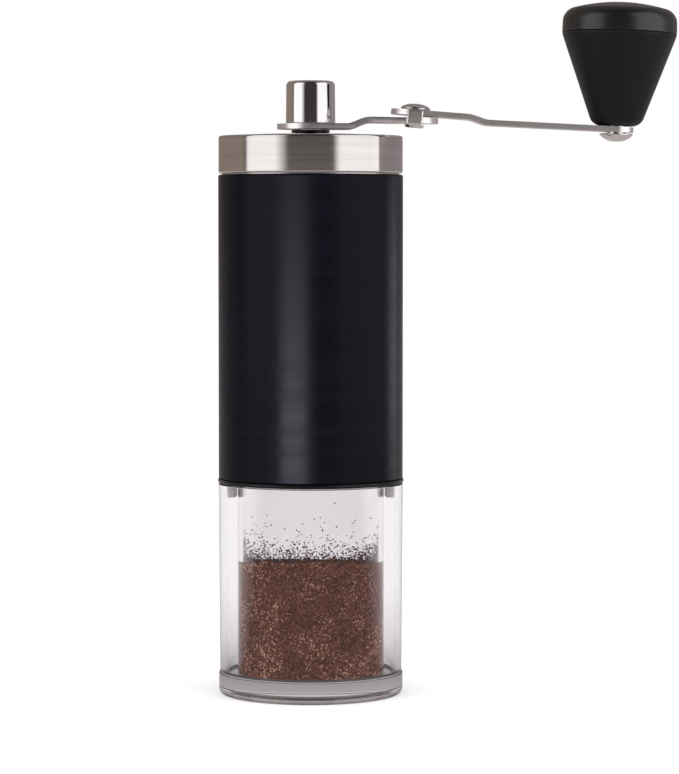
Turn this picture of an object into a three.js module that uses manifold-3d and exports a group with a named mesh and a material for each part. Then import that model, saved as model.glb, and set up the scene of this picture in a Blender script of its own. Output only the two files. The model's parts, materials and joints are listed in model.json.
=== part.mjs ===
// Hand crank coffee grinder: a conical burr mill in a tube, with a folding crank on its lid and a
// clear jar below. Millimetres, +Z up. The origin is on the grinder's axis, on the face that it
// stands on, and the crank points along +X at rest.
import * as THREE from "three";
import { mergeVertices } from "three/addons/utils/BufferGeometryUtils.js";
import Module from "manifold-3d";

const wasm = await Module();
wasm.setup();

// Driving dimensions. Names ending in R are radii, and names ending in Z are heights.
const WIDE_FACETS = 40; // round the casings
const INNER_FACETS = 30; // round the large parts inside the barrel
const SMALL_FACETS = 20; // round the small ones
const GAP = 0.25; // between neighbouring pieces
const FLUSH_GAP = 0.15; // between pieces that show a hairline seam

const JAR_R = 24.05;
const JAR_BASE_R = 24;
const JAR_BASE_TOP_Z = 5.6;
const JAR_FOOT_EDGE = 0.8; // bevel round the flat that it stands on
const JAR_SHELL_WALL = 1.8;
const JAR_DRAFT = 0.35; // how much narrower the shell is at its foot
const JAR_TOP_Z = 55;
const LINER_R = 19.1;
const LINER_WALL = 1.3;
const LINER_TOP_Z = 61.1;
const COFFEE_TOP_Z = 35;

const COLLAR_R = 24.2;
const COLLAR_TOP_Z = 64.3;
const LUG_DROP = 3.9;

const SLEEVE_R = 24;
const SLEEVE_WALL = 0.85;
const SLEEVE_TOP_Z = 135.2;
const BARREL_WALL = 0.8;
const BARREL_TOP_Z = 143.1;

const SHAFT_R = 3;
const SHAFT_FOOT_Z = 58;
const SHAFT_TOP_Z = 157.9;
const HEX_FOOT_Z = 142.1;
const BUSH_WALL = 0.9;
const HUB_R = 6;
const HUB_HEIGHT = 7;
const SPOKES = 3;
const SPOKE_WIDTH = 3;

const HOUSING_FOOT_Z = 67.3;
const HOUSING_TOP_Z = 99.1;
const HUB_TOP_Z = HOUSING_TOP_Z - 1;
const SCREWS = 3;
const SCREW_CIRCLE_R = 19.9;
const SCREW_R = 0.8;
const SCREW_HEAD_R = 1.5;
const SCREW_HEAD = 0.9; // height of the head
const RING_BURR_R = 18.5;
const RING_BURR_HEIGHT = 18;
const BURR_TEETH = 12;
const TOOTH_DEPTH = 0.8;
const INNER_BURR_TOP_Z = 84.1;
const INNER_BURR_KNEE_Z = 75.1; // where the cone stops following the ring
const SPRING_R = 4.5;
const SPRING_TURNS = 3.5;
const WIRE_R = 0.45;
const ADJUSTER_R = 11;
const ADJUSTER_HEIGHT = 6.7;

const BRACKET_FOOT_Z = 120.1;
const BRACKET_HEIGHT = 7;

const LID_R = 23.9;
const LID_FOOT_Z = 135.5;
const LID_TOP_Z = 145.2; // at the edge
const LID_DOME = 0.6; // how much higher the middle is
const LID_WALL = 0.7;
const LID_HOLE_R = 4.3;
const LID_SEAL_BORE = 19.5;

const STRAP = 1.4; // thickness of both halves of the arm
const ARM_FOOT_Z = 146.95;
const ARM_EYE_R = 8.7; // the inner arm's rounded end round the shaft
const FOLD_EYE_R = 6.3; // the rounded ends round the rivet
const FOLD_X = 27.1; // the rivet's distance from the grinder's axis
const FOLD_Z = 150.45; // height of the outer arm's underside at the rivet
const FOLD_TILT = THREE.MathUtils.degToRad(4.4); // how far the rivet leans towards +X
const INNER_RISE = 1.7; // the inner arm's step up
const OUTER_DROP = 1.12; // the outer arm's step down
const CAP_R = 6.4;
const CAP_TOP_Z = 159.6;

const KNOB_REACH = 52.35; // along the outer arm, from the rivet to the knob's post
const KNOB_TILT = THREE.MathUtils.degToRad(1.7); // how far the knob leans towards +X
const KNOB_R = 14.85;
const KNOB_TOP = 32.9; // above the middle of the strap
const KNOB_SEAM = 24.8;
const KNOB_POCKET_R = 10; // the hollow under the knob's cap
const KNOB_POCKET_FLOOR = 16;
const POST_R = 2.4;
const POST_TOP = 18;

const barrelR = SLEEVE_R - SLEEVE_WALL - 0.2;
const barrelBore = barrelR - BARREL_WALL;
const insertR = barrelBore - GAP; // everything that is pressed into the barrel
const linerBore = LINER_R - LINER_WALL;
const collarBore = LINER_R + 0.35;
const lipTopZ = JAR_TOP_Z + 1.3;
const bushR = SHAFT_R + GAP + BUSH_WALL;

// What each finish looks like
const FINISHES = {
  blackSteel: { color: 0x16151c, roughness: 0.45, metalness: 0.6 },
  brushedSteel: { color: 0xb8b4b2, roughness: 0.35, metalness: 1 },
  chrome: { color: 0xd8d6d8, roughness: 0.12, metalness: 1 },
  steel: { color: 0xa6a4a4, roughness: 0.4, metalness: 1 },
  blackPlastic: { color: 0x161618, roughness: 0.55, metalness: 0 },
  satinPlastic: { color: 0x1c1c20, roughness: 0.35, metalness: 0 },
  greyPlastic: { color: 0x4a4a4c, roughness: 0.6, metalness: 0 },
  acrylic: {
    color: 0xe8e6ea,
    roughness: 0.05,
    metalness: 0,
    transparent: true,
    opacity: 0.35,
  },
  ceramic: { color: 0xe9e4da, roughness: 0.5, metalness: 0 },
  brass: { color: 0xb0893f, roughness: 0.4, metalness: 1 },
  silicone: { color: 0xd0cdc8, roughness: 0.7, metalness: 0 },
  coffee: { color: 0x64483e, roughness: 0.9, metalness: 0 },
};

// ---------------------------------------------------------------- shapes

// A geometry with only positions, its shared vertices merged, so that it is one closed surface.
function closed(geometry) {
  for (const name of Object.keys(geometry.attributes)) {
    if (name !== "position") geometry.deleteAttribute(name);
  }
  return mergeVertices(geometry, 1e-4);
}

function toSolid(geometry) {
  const surface = closed(geometry);
  return new wasm.Manifold(
    new wasm.Mesh({
      numProp: 3,
      vertProperties: new Float32Array(surface.attributes.position.array),
      triVerts: new Uint32Array(surface.index.array),
    }),
  );
}

function toGeometry(solid) {
  const { vertProperties, triVerts } = solid.getMesh();
  return new THREE.BufferGeometry()
    .setAttribute("position", new THREE.BufferAttribute(vertProperties, 3))
    .setIndex(new THREE.BufferAttribute(triVerts, 1));
}

function join(first, ...others) {
  return toGeometry(
    others.reduce((sum, next) => sum.add(toSolid(next)), toSolid(first)),
  );
}

function cut(first, ...tools) {
  return toGeometry(
    tools.reduce((rest, tool) => rest.subtract(toSolid(tool)), toSolid(first)),
  );
}

function common(first, second) {
  return toGeometry(toSolid(first).intersect(toSolid(second)));
}

// The arc that rounds the corner between two straight lines, as points.
function roundedCorner(before, corner, after, radius) {
  const towardsBefore = before.clone().sub(corner).normalize();
  const towardsAfter = after.clone().sub(corner).normalize();
  const half = Math.acos(towardsBefore.dot(towardsAfter)) / 2;
  const middle = towardsBefore.clone().add(towardsAfter).normalize();
  const centre = corner
    .clone()
    .addScaledVector(middle, radius / Math.sin(half));
  const start = corner
    .clone()
    .addScaledVector(towardsBefore, radius / Math.tan(half))
    .sub(centre);
  const sweep = Math.PI - 2 * half;
  const sense = Math.sign(towardsBefore.cross(towardsAfter));
  const steps = Math.max(2, Math.ceil(sweep / 0.5));
  return Array.from({ length: steps + 1 }, (_, i) =>
    start
      .clone()
      .rotateAround(new THREE.Vector2(), (-sense * sweep * i) / steps)
      .add(centre),
  );
}

// A profile of [radius, height] corners, each with an optional rounding as its third number.
function outline(corners) {
  const at = corners.map(([r, z]) => new THREE.Vector2(r, z));
  const last = at.length - 1;
  return corners.flatMap(([, , rounding], i) =>
    rounding
      ? roundedCorner(
          at[i === 0 ? last : i - 1],
          at[i],
          at[i === last ? 0 : i + 1],
          rounding,
        )
      : [at[i]],
  );
}

// A solid of revolution round Z. Its corners run anticlockwise, with radius across and height up.
function turned(corners, facets = WIDE_FACETS) {
  const points = outline(corners);
  const onAxis = points[0].x === 0 && points[points.length - 1].x === 0;
  if (!onAxis) points.push(points[0].clone());
  return closed(new THREE.LatheGeometry(points, facets).rotateX(Math.PI / 2));
}

function tube(innerR, outerR, footZ, topZ, facets = WIDE_FACETS) {
  return turned(
    [
      [innerR, footZ],
      [outerR, footZ],
      [outerR, topZ],
      [innerR, topZ],
    ],
    facets,
  );
}

function rod(radius, footZ, topZ, facets = SMALL_FACETS) {
  return closed(
    new THREE.CylinderGeometry(radius, radius, topZ - footZ, facets)
      .rotateX(Math.PI / 2)
      .translate(0, 0, (footZ + topZ) / 2),
  );
}

function block(lowX, highX, lowY, highY, lowZ, highZ) {
  return new THREE.BoxGeometry(
    highX - lowX,
    highY - lowY,
    highZ - lowZ,
  ).translate((lowX + highX) / 2, (lowY + highY) / 2, (lowZ + highZ) / 2);
}

function prism(shape, footZ, topZ) {
  return closed(
    new THREE.ExtrudeGeometry(shape, {
      depth: topZ - footZ,
      bevelEnabled: false,
      curveSegments: 16,
    }).translate(0, 0, footZ),
  );
}

// A closed ring of sections, each a loop of the same number of points.
function lofted(sections) {
  const round = sections[0].length;
  const position = sections.flat().flatMap((p) => p.toArray());
  const index = sections.flatMap((_, i) => {
    const here = i * round;
    const next = ((i + 1) % sections.length) * round;
    return Array.from({ length: round }, (_, j) => {
      const k = (j + 1) % round;
      return [here + j, here + k, next + k, here + j, next + k, next + j];
    }).flat();
  });
  return new THREE.BufferGeometry()
    .setAttribute("position", new THREE.Float32BufferAttribute(position, 3))
    .setIndex(index);
}

// A loop of points at one height, whose radius depends on the angle.
function loop(count, z, radiusAt) {
  return Array.from({ length: count }, (_, i) => {
    const angle = (2 * Math.PI * i) / count;
    const r = radiusAt(angle);
    return new THREE.Vector3(r * Math.cos(angle), r * Math.sin(angle), z);
  });
}

const smoothStep = (t) => THREE.MathUtils.smoothstep(t, 0, 1);

// The outline of a strap with round ends at x = 0 and x = reach, seen from above.
function strapPlan(startR, reach, endR) {
  const lean = Math.asin((startR - endR) / reach);
  return new THREE.Shape()
    .absarc(0, 0, startR, Math.PI / 2 - lean, 1.5 * Math.PI + lean, false)
    .absarc(reach, 0, endR, 1.5 * Math.PI + lean, 2.5 * Math.PI - lean, false)
    .closePath();
}

// The side of a bent strap, whose underside follows a curve, extruded right across the plan.
function strapSide(lowX, highX, undersideAt) {
  const steps = 30;
  const width = 4 * ARM_EYE_R;
  const xs = Array.from(
    { length: steps + 1 },
    (_, i) => lowX + ((highX - lowX) * i) / steps,
  );
  const under = xs.map((x) => new THREE.Vector2(x, undersideAt(x)));
  const over = under.map((p) => new THREE.Vector2(p.x, p.y + STRAP)).reverse();
  return closed(
    new THREE.ExtrudeGeometry(new THREE.Shape([...under, ...over]), {
      depth: width,
      bevelEnabled: false,
    })
      .rotateX(Math.PI / 2)
      .translate(0, width / 2, 0),
  );
}

function named(name, geometry, finish) {
  const mesh = new THREE.Mesh(
    geometry,
    new THREE.MeshStandardMaterial(FINISHES[finish]),
  );
  mesh.name = name;
  return mesh;
}

// ---------------------------------------------------------------- jar

function jarBase() {
  return turned([
    [0, 0],
    [JAR_BASE_R - JAR_FOOT_EDGE, 0],
    [JAR_BASE_R, JAR_FOOT_EDGE],
    [JAR_BASE_R, JAR_BASE_TOP_Z],
    [0, JAR_BASE_TOP_Z],
  ]);
}

function jarShell() {
  const footZ = JAR_BASE_TOP_Z + FLUSH_GAP;
  return turned([
    [JAR_R - JAR_DRAFT - JAR_SHELL_WALL, footZ],
    [JAR_R - JAR_DRAFT, footZ],
    [JAR_R, JAR_TOP_Z],
    [JAR_R - JAR_SHELL_WALL, JAR_TOP_Z],
  ]);
}

function jarLiner() {
  return tube(linerBore, LINER_R, JAR_BASE_TOP_Z + FLUSH_GAP, LINER_TOP_Z);
}

// The heap is a little higher against the wall.
function groundCoffee() {
  const wallR = linerBore - GAP;
  return turned([
    [0, JAR_BASE_TOP_Z + FLUSH_GAP],
    [wallR, JAR_BASE_TOP_Z + FLUSH_GAP],
    [wallR, COFFEE_TOP_Z + 1.2],
    [wallR * 0.6, COFFEE_TOP_Z + 0.3],
    [0, COFFEE_TOP_Z],
  ]);
}

function jarGasket() {
  const footZ = LINER_TOP_Z + GAP;
  return tube(linerBore + 0.1, LINER_R, footZ, footZ + 1.15, INNER_FACETS);
}

// ---------------------------------------------------------------- barrel

// A lip under the sleeve, a socket for the liner's neck, and two lugs that hang in the jar's gap.
function barrelCollar() {
  const lipZ = JAR_TOP_Z + 0.2;
  const socketTopZ = LINER_TOP_Z + 1.7;
  const body = turned([
    [collarBore, lipZ],
    [COLLAR_R, lipZ],
    [COLLAR_R, lipTopZ],
    [insertR, lipTopZ],
    [insertR, COLLAR_TOP_Z],
    [linerBore + 0.2, COLLAR_TOP_Z],
    [linerBore + 0.2, socketTopZ],
    [collarBore, socketTopZ],
  ]);
  const lugs = [0, Math.PI].map((angle) =>
    block(
      collarBore + 0.1,
      JAR_R - JAR_SHELL_WALL - 0.4,
      -2.5,
      2.5,
      lipZ - LUG_DROP,
      lipZ + 0.5,
    ).rotateZ(angle),
  );
  return join(body, ...lugs);
}

function outerSleeve() {
  return turned([
    [SLEEVE_R - SLEEVE_WALL, lipTopZ + FLUSH_GAP],
    [SLEEVE_R, lipTopZ + FLUSH_GAP],
    [SLEEVE_R, SLEEVE_TOP_Z, 0.6],
    [SLEEVE_R - SLEEVE_WALL, SLEEVE_TOP_Z],
  ]);
}

function innerBarrel() {
  return tube(barrelBore, barrelR, lipTopZ + FLUSH_GAP, BARREL_TOP_Z);
}

// Flat spokes from a hub out into a wall.
function spokes(reach, footZ, topZ) {
  return Array.from({ length: SPOKES }, (_, i) =>
    block(
      HUB_R - 0.8,
      reach,
      -SPOKE_WIDTH / 2,
      SPOKE_WIDTH / 2,
      footZ,
      topZ,
    ).rotateZ((2 * Math.PI * i) / SPOKES),
  );
}

// Holds the ring burr below its shoulder and the shaft's lower bush in its hub, and funnels the
// beans down between the two.
function burrHousing() {
  const seatR = RING_BURR_R + 0.3;
  const shoulderZ = HOUSING_FOOT_Z + RING_BURR_HEIGHT + 0.5;
  const throatR = 13;
  const rimR = insertR - 1.4;
  const wall = turned(
    [
      [seatR, HOUSING_FOOT_Z],
      [insertR, HOUSING_FOOT_Z],
      [insertR, HOUSING_TOP_Z],
      [rimR, HOUSING_TOP_Z],
      [rimR, HOUSING_TOP_Z - 5],
      [throatR, shoulderZ + 1.5],
      [throatR, shoulderZ],
      [seatR, shoulderZ],
    ],
    INNER_FACETS,
  );
  const hubFootZ = HUB_TOP_Z - HUB_HEIGHT;
  const hub = tube(bushR + GAP, HUB_R, hubFootZ, HUB_TOP_Z, SMALL_FACETS);
  const holes = screwPlaces().map(([x, y]) =>
    rod(SCREW_R + 0.2, HOUSING_FOOT_Z - 1, HOUSING_FOOT_Z + 5, 12).translate(
      x,
      y,
      0,
    ),
  );
  return cut(
    join(wall, hub, ...spokes(rimR + 0.5, hubFootZ + 0.5, HUB_TOP_Z - 0.5)),
    ...holes,
  );
}

function screwPlaces() {
  return Array.from({ length: SCREWS }, (_, i) => {
    const angle = (2 * Math.PI * (i + 0.5)) / SCREWS;
    return [SCREW_CIRCLE_R * Math.cos(angle), SCREW_CIRCLE_R * Math.sin(angle)];
  });
}

function burrRetainer() {
  const footZ = COLLAR_TOP_Z + 0.4;
  const topZ = HOUSING_FOOT_Z - 0.3;
  const sinkZ = footZ + SCREW_HEAD + 0.3;
  const ring = tube(16.9, insertR - 0.2, footZ, topZ, INNER_FACETS);
  const tools = screwPlaces().flatMap(([x, y]) => [
    rod(SCREW_R + GAP, footZ - 1, topZ + 1, 12).translate(x, y, 0),
    rod(SCREW_HEAD_R + GAP, footZ - 1, sinkZ, 12).translate(x, y, 0),
  ]);
  return cut(ring, ...tools);
}

function housingScrew([x, y]) {
  const headFootZ = COLLAR_TOP_Z + 0.45;
  return turned(
    [
      [0, headFootZ],
      [SCREW_HEAD_R, headFootZ],
      [SCREW_HEAD_R, headFootZ + SCREW_HEAD],
      [SCREW_R, headFootZ + SCREW_HEAD],
      [SCREW_R, HOUSING_FOOT_Z + 4.2],
      [0, HOUSING_FOOT_Z + 4.6],
    ],
    12,
  ).translate(x, y, 0);
}

// Teeth that lean round the cone: a depth between 0 and 1 for each angle and height.
function toothAt(angle, z, lean) {
  const turn = (angle * BURR_TEETH) / (2 * Math.PI) + lean * (z / 10);
  const across = turn - Math.floor(turn);
  return across < 0.25 ? across / 0.25 : (1 - across) / 0.75;
}

const ringConeR = (z) => 16.6 - 0.283 * (z - HOUSING_FOOT_Z - 0.2);

function ringBurr() {
  const count = BURR_TEETH * 5;
  const footZ = HOUSING_FOOT_Z + 0.2;
  const topZ = footZ + RING_BURR_HEIGHT;
  const levels = [topZ, topZ - 6, topZ - 12, footZ];
  return lofted([
    loop(count, footZ, () => RING_BURR_R),
    loop(count, topZ, () => RING_BURR_R),
    ...levels.map((z) =>
      loop(
        count,
        z,
        (angle) => ringConeR(z) - TOOTH_DEPTH * toothAt(angle, z, 0.9),
      ),
    ),
  ]);
}

// The cone closes on the ring at its foot and opens upwards, where whole beans come in.
function innerBurr() {
  const count = BURR_TEETH * 5;
  const closeness = 1.3;
  const footZ = HOUSING_FOOT_Z - 0.8;
  const kneeZ = INNER_BURR_KNEE_Z;
  const topR = 7;
  const kneeR = ringConeR(kneeZ) - closeness;
  const crestR = (z) =>
    z < kneeZ
      ? ringConeR(Math.max(z, HOUSING_FOOT_Z + 0.2)) - closeness
      : THREE.MathUtils.mapLinear(z, kneeZ, INNER_BURR_TOP_Z, kneeR, topR);
  const levels = [
    footZ,
    HOUSING_FOOT_Z + 1,
    kneeZ - 4,
    kneeZ,
    (kneeZ + INNER_BURR_TOP_Z) / 2,
    INNER_BURR_TOP_Z,
  ];
  const bore = 5.5;
  return lofted([
    ...levels.map((z) =>
      loop(
        count,
        z,
        (angle) => crestR(z) - TOOTH_DEPTH * toothAt(angle, z, -0.9),
      ),
    ),
    loop(count, INNER_BURR_TOP_Z, () => bore),
    loop(count, footZ, () => bore),
  ]);
}

// The plastic middle of the inner burr, with the flange that clicks on the adjuster.
function burrCore() {
  const flangeZ = HOUSING_FOOT_Z - 2;
  const flangeTopZ = flangeZ + 0.9;
  const flangeR = 8;
  const coreR = 5.2;
  const bore = SHAFT_R + GAP;
  return turned(
    [
      [bore, flangeZ],
      [flangeR, flangeZ],
      [flangeR, flangeTopZ],
      [coreR, flangeTopZ],
      [coreR, INNER_BURR_TOP_Z + 0.2],
      [bore, INNER_BURR_TOP_Z + 0.2],
    ],
    SMALL_FACETS,
  );
}

class Helix extends THREE.Curve {
  constructor(radius, footZ, topZ, turns) {
    super();
    Object.assign(this, { radius, footZ, topZ, turns });
  }
  getPoint(t, target = new THREE.Vector3()) {
    const angle = 2 * Math.PI * this.turns * t;
    return target.set(
      this.radius * Math.cos(angle),
      this.radius * Math.sin(angle),
      THREE.MathUtils.lerp(this.footZ, this.topZ, t),
    );
  }
}

function burrSpring() {
  const section = new THREE.Shape(
    Array.from({ length: 6 }, (_, i) =>
      new THREE.Vector2(WIRE_R, 0).rotateAround(
        new THREE.Vector2(),
        (i * Math.PI) / 3,
      ),
    ),
  );
  const footZ = INNER_BURR_TOP_Z + 0.4 + WIRE_R;
  const topZ = HUB_TOP_Z - HUB_HEIGHT - 0.2 - WIRE_R;
  return closed(
    new THREE.ExtrudeGeometry(section, {
      steps: 16 * SPRING_TURNS,
      bevelEnabled: false,
      extrudePath: new Helix(SPRING_R, footZ, topZ, SPRING_TURNS),
    }),
  );
}

// A nut with finger scallops round its edge.
function adjusterNut() {
  const scallops = 10;
  const count = scallops * 6;
  const topZ = HOUSING_FOOT_Z - 2.3;
  const edge = Array.from({ length: count }, (_, i) => {
    const angle = (2 * Math.PI * i) / count;
    const r = ADJUSTER_R - 0.5 + 0.5 * Math.cos(scallops * angle);
    return new THREE.Vector2(r * Math.cos(angle), r * Math.sin(angle));
  });
  const shape = new THREE.Shape(edge);
  shape.holes.push(
    new THREE.Path().absarc(0, 0, SHAFT_R + GAP, 0, 2 * Math.PI),
  );
  return prism(shape, topZ - ADJUSTER_HEIGHT, topZ);
}

// A sleeve bearing for the shaft.
function bush(footZ, topZ) {
  return tube(SHAFT_R + GAP, bushR, footZ, topZ, SMALL_FACETS);
}

function upperBracket() {
  const rimR = insertR - 1.7;
  const topZ = BRACKET_FOOT_Z + BRACKET_HEIGHT;
  return join(
    tube(rimR, insertR, BRACKET_FOOT_Z, topZ, INNER_FACETS),
    tube(bushR + GAP, HUB_R, BRACKET_FOOT_Z, topZ, SMALL_FACETS),
    ...spokes(rimR + 0.5, BRACKET_FOOT_Z + 0.5, topZ - 0.5),
  );
}

// ---------------------------------------------------------------- shaft

function driveShaft() {
  const grooveZ = HOUSING_TOP_Z;
  const round = turned(
    [
      [0, SHAFT_FOOT_Z],
      [SHAFT_R - 0.5, SHAFT_FOOT_Z],
      [SHAFT_R, SHAFT_FOOT_Z + 0.5],
      [SHAFT_R, grooveZ],
      [SHAFT_R - 0.5, grooveZ],
      [SHAFT_R - 0.5, grooveZ + 1],
      [SHAFT_R, grooveZ + 1],
      [SHAFT_R, HEX_FOOT_Z],
      [0, HEX_FOOT_Z],
    ],
    SMALL_FACETS,
  );
  return join(round, rod(SHAFT_R, HEX_FOOT_Z - 1, SHAFT_TOP_Z, 6));
}

function thrustWasher() {
  const footZ = HOUSING_TOP_Z - 0.8;
  return tube(SHAFT_R + GAP, HUB_R - 0.3, footZ, footZ + 0.65, SMALL_FACETS);
}

// An open ring that snaps into the shaft's groove.
function shaftClip() {
  const mouth = 0.7;
  const ring = new THREE.Shape()
    .absarc(0, 0, 5, mouth, 2 * Math.PI - mouth, false)
    .absarc(0, 0, SHAFT_R - 0.3, 2 * Math.PI - mouth, mouth, true)
    .closePath();
  return prism(ring, HOUSING_TOP_Z + 0.1, HOUSING_TOP_Z + 0.9);
}

// ---------------------------------------------------------------- lid

function lid() {
  const domeZ = LID_TOP_Z + LID_DOME;
  const halfway = (z) => z + LID_DOME * 0.75;
  const ceiling = LID_TOP_Z - 0.9;
  return turned([
    [LID_R - LID_WALL, LID_FOOT_Z],
    [LID_R - 0.25, LID_FOOT_Z],
    [LID_R, LID_FOOT_Z + 0.3],
    [LID_R, LID_TOP_Z, 0.5],
    [12, halfway(LID_TOP_Z)],
    [LID_HOLE_R, domeZ],
    [LID_HOLE_R, domeZ - 0.9],
    [12, halfway(ceiling)],
    [LID_R - LID_WALL, ceiling],
  ]);
}

function lidBush() {
  const neckR = LID_HOLE_R - GAP;
  const bore = SHAFT_R + 0.35;
  const flangeZ = LID_TOP_Z + LID_DOME + GAP;
  const underZ = LID_TOP_Z - 0.65;
  return turned(
    [
      [bore, underZ - 1.8],
      [6.2, underZ - 1.8],
      [6.2, underZ],
      [neckR, underZ],
      [neckR, flangeZ],
      [5, flangeZ],
      [5, flangeZ + 0.65],
      [bore, flangeZ + 0.65],
    ],
    SMALL_FACETS,
  );
}

function lidSeal() {
  const footZ = BARREL_TOP_Z + GAP;
  return tube(LID_SEAL_BORE, barrelR, footZ, footZ + 0.6);
}

// ---------------------------------------------------------------- crank

function hexHole(footZ, topZ) {
  return rod(SHAFT_R + 0.35, footZ, topZ, 6);
}

// Flat round the shaft, then a step up to the fold's rivet.
function innerArm() {
  const stepX = 9.5;
  const stepLength = 6;
  const sag = 0.019; // the strap sinks a little beyond the step
  const underside = (x) =>
    ARM_FOOT_Z +
    INNER_RISE * smoothStep((x - stepX) / stepLength) -
    sag * Math.max(0, x - stepX - stepLength);
  const endX = FOLD_X - 0.1;
  const plan = prism(
    strapPlan(ARM_EYE_R, endX, FOLD_EYE_R - 0.2),
    ARM_FOOT_Z - 2,
    FOLD_Z + 2,
  );
  const strap = common(
    strapSide(-2 * ARM_EYE_R, 2 * FOLD_X, underside),
    plan,
  );
  return cut(
    strap,
    hexHole(ARM_FOOT_Z - 1, ARM_FOOT_Z + 3),
    rod(2.25, ARM_FOOT_Z, FOLD_Z + 2).translate(endX, 0, 0),
  );
}

// The socket that carries the arm and drops over the shaft's hexagonal end.
function socketCap() {
  const footZ = ARM_FOOT_Z + STRAP + FLUSH_GAP;
  const outside = turned(
    [
      [0, footZ],
      [CAP_R, footZ],
      [CAP_R - 0.1, CAP_TOP_Z - 0.15, 1.2],
      [3, CAP_TOP_Z],
      [0, CAP_TOP_Z],
    ],
    32,
  );
  return cut(outside, hexHole(footZ - 1, SHAFT_TOP_Z + 0.4));
}

// In the fold's frame: x along the strap, z = 0 at its underside beside the rivet.
const outerUnderside = (x) =>
  0.0265 * Math.max(0, x - 19) - OUTER_DROP * smoothStep((x - 13.3) / 5.8);

function outerArm() {
  const endR = 4.45;
  const plan = prism(strapPlan(FOLD_EYE_R, KNOB_REACH, endR), -4, 4);
  const strap = common(
    strapSide(-2 * FOLD_EYE_R, KNOB_REACH + 2 * endR, outerUnderside),
    plan,
  );
  const earInnerY = -(FOLD_EYE_R + 0.45);
  const earOuterY = earInnerY - 1.3;
  const ear = join(
    block(-2.2, 1.9, earOuterY, earInnerY, -2.6, STRAP - 0.1),
    block(-2.2, 1.9, earOuterY + 0.1, 3 - FOLD_EYE_R, 0, STRAP - 0.1),
  );
  return cut(
    join(strap, ear),
    rod(2.15, -5, 5),
    rod(POST_R + GAP, -5, 5).translate(KNOB_REACH, 0, 0),
  );
}

function hingeRivet() {
  const headZ = STRAP + 0.1;
  const tailZ = -2.4;
  return turned(
    [
      [0, tailZ - 0.7],
      [2.3, tailZ - 0.7],
      [2.65, tailZ],
      [1.9, tailZ],
      [1.9, headZ],
      [3.6, headZ],
      [3.95, headZ + 0.45],
      [3.2, headZ + 1.05],
      [1.7, headZ + 1.5],
      [0, headZ + 1.65],
    ],
    SMALL_FACETS,
  );
}

// ---------------------------------------------------------------- knob
// In the knob's frame: z = 0 at the middle of the strap, on the post's axis.

function knobPost() {
  const headZ = -STRAP / 2 - 0.35;
  return turned(
    [
      [0, headZ - 2.1],
      [1.9, headZ - 1.9],
      [3.3, headZ - 1.2],
      [4.35, headZ - 0.35],
      [4.25, headZ],
      [POST_R, headZ],
      [POST_R, POST_TOP],
      [0, POST_TOP],
    ],
    SMALL_FACETS,
  );
}

function knobPushNut() {
  const footZ = KNOB_POCKET_FLOOR + 0.3;
  return tube(POST_R + 0.2, 5, footZ, footZ + 0.9, SMALL_FACETS);
}

function knobBody() {
  const footZ = STRAP / 2 + 0.2;
  const bore = POST_R + 0.35;
  return turned([
    [bore, footZ],
    [6.25, footZ, 2.4],
    [KNOB_R - 0.2, KNOB_SEAM - 0.8, 3],
    [KNOB_R - 0.03, KNOB_SEAM],
    [KNOB_POCKET_R, KNOB_SEAM],
    [KNOB_POCKET_R, KNOB_POCKET_FLOOR],
    [bore, KNOB_POCKET_FLOOR],
  ]);
}

function knobCap() {
  const footZ = KNOB_SEAM + FLUSH_GAP;
  const plugR = KNOB_POCKET_R - 0.3;
  return turned([
    [0, footZ - 3],
    [plugR, footZ - 3],
    [plugR, footZ],
    [KNOB_R, footZ],
    [KNOB_R - 0.15, KNOB_TOP - 2.3, 3],
    [6.5, KNOB_TOP - 0.5],
    [0, KNOB_TOP],
  ]);
}

// ---------------------------------------------------------------- assembly

function jar() {
  return new THREE.Group().add(
    named("jar_base", jarBase(), "acrylic"),
    named("jar_shell", jarShell(), "acrylic"),
    named("jar_liner", jarLiner(), "acrylic"),
    named("ground_coffee", groundCoffee(), "coffee"),
    named("jar_gasket", jarGasket(), "silicone"),
  );
}

function barrel() {
  const screws = screwPlaces().map((place, i) =>
    named(`housing_screw_${i + 1}`, housingScrew(place), "steel"),
  );
  return new THREE.Group().add(
    named("barrel_collar", barrelCollar(), "blackPlastic"),
    named("outer_sleeve", outerSleeve(), "blackSteel"),
    named("inner_barrel", innerBarrel(), "brushedSteel"),
    named("burr_housing", burrHousing(), "greyPlastic"),
    named("ring_burr", ringBurr(), "ceramic"),
    named("burr_retainer", burrRetainer(), "blackPlastic"),
    ...screws,
    named("lower_bush", bush(HUB_TOP_Z - HUB_HEIGHT, HUB_TOP_Z), "brass"),
    named("upper_bracket", upperBracket(), "greyPlastic"),
    named(
      "upper_bush",
      bush(BRACKET_FOOT_Z - 0.4, BRACKET_FOOT_Z + BRACKET_HEIGHT + 0.4),
      "brass",
    ),
  );
}

function grindingShaft() {
  return new THREE.Group().add(
    named("drive_shaft", driveShaft(), "steel"),
    named("thrust_washer", thrustWasher(), "steel"),
    named("shaft_clip", shaftClip(), "steel"),
    named("inner_burr", innerBurr(), "ceramic"),
    named("burr_core", burrCore(), "greyPlastic"),
    named("burr_spring", burrSpring(), "steel"),
    named("adjuster_nut", adjusterNut(), "blackPlastic"),
  );
}

function lidAssembly() {
  return new THREE.Group().add(
    named("lid", lid(), "brushedSteel"),
    named("lid_bush", lidBush(), "blackPlastic"),
    named("lid_seal", lidSeal(), "silicone"),
  );
}

function knob() {
  const group = new THREE.Group().add(
    named("knob_post", knobPost(), "chrome"),
    named("knob_push_nut", knobPushNut(), "steel"),
    named("knob_body", knobBody(), "blackPlastic"),
    named("knob_cap", knobCap(), "satinPlastic"),
  );
  group.position.set(KNOB_REACH, 0, outerUnderside(KNOB_REACH) + STRAP / 2);
  group.rotation.y = KNOB_TILT - FOLD_TILT;
  return group;
}

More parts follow.
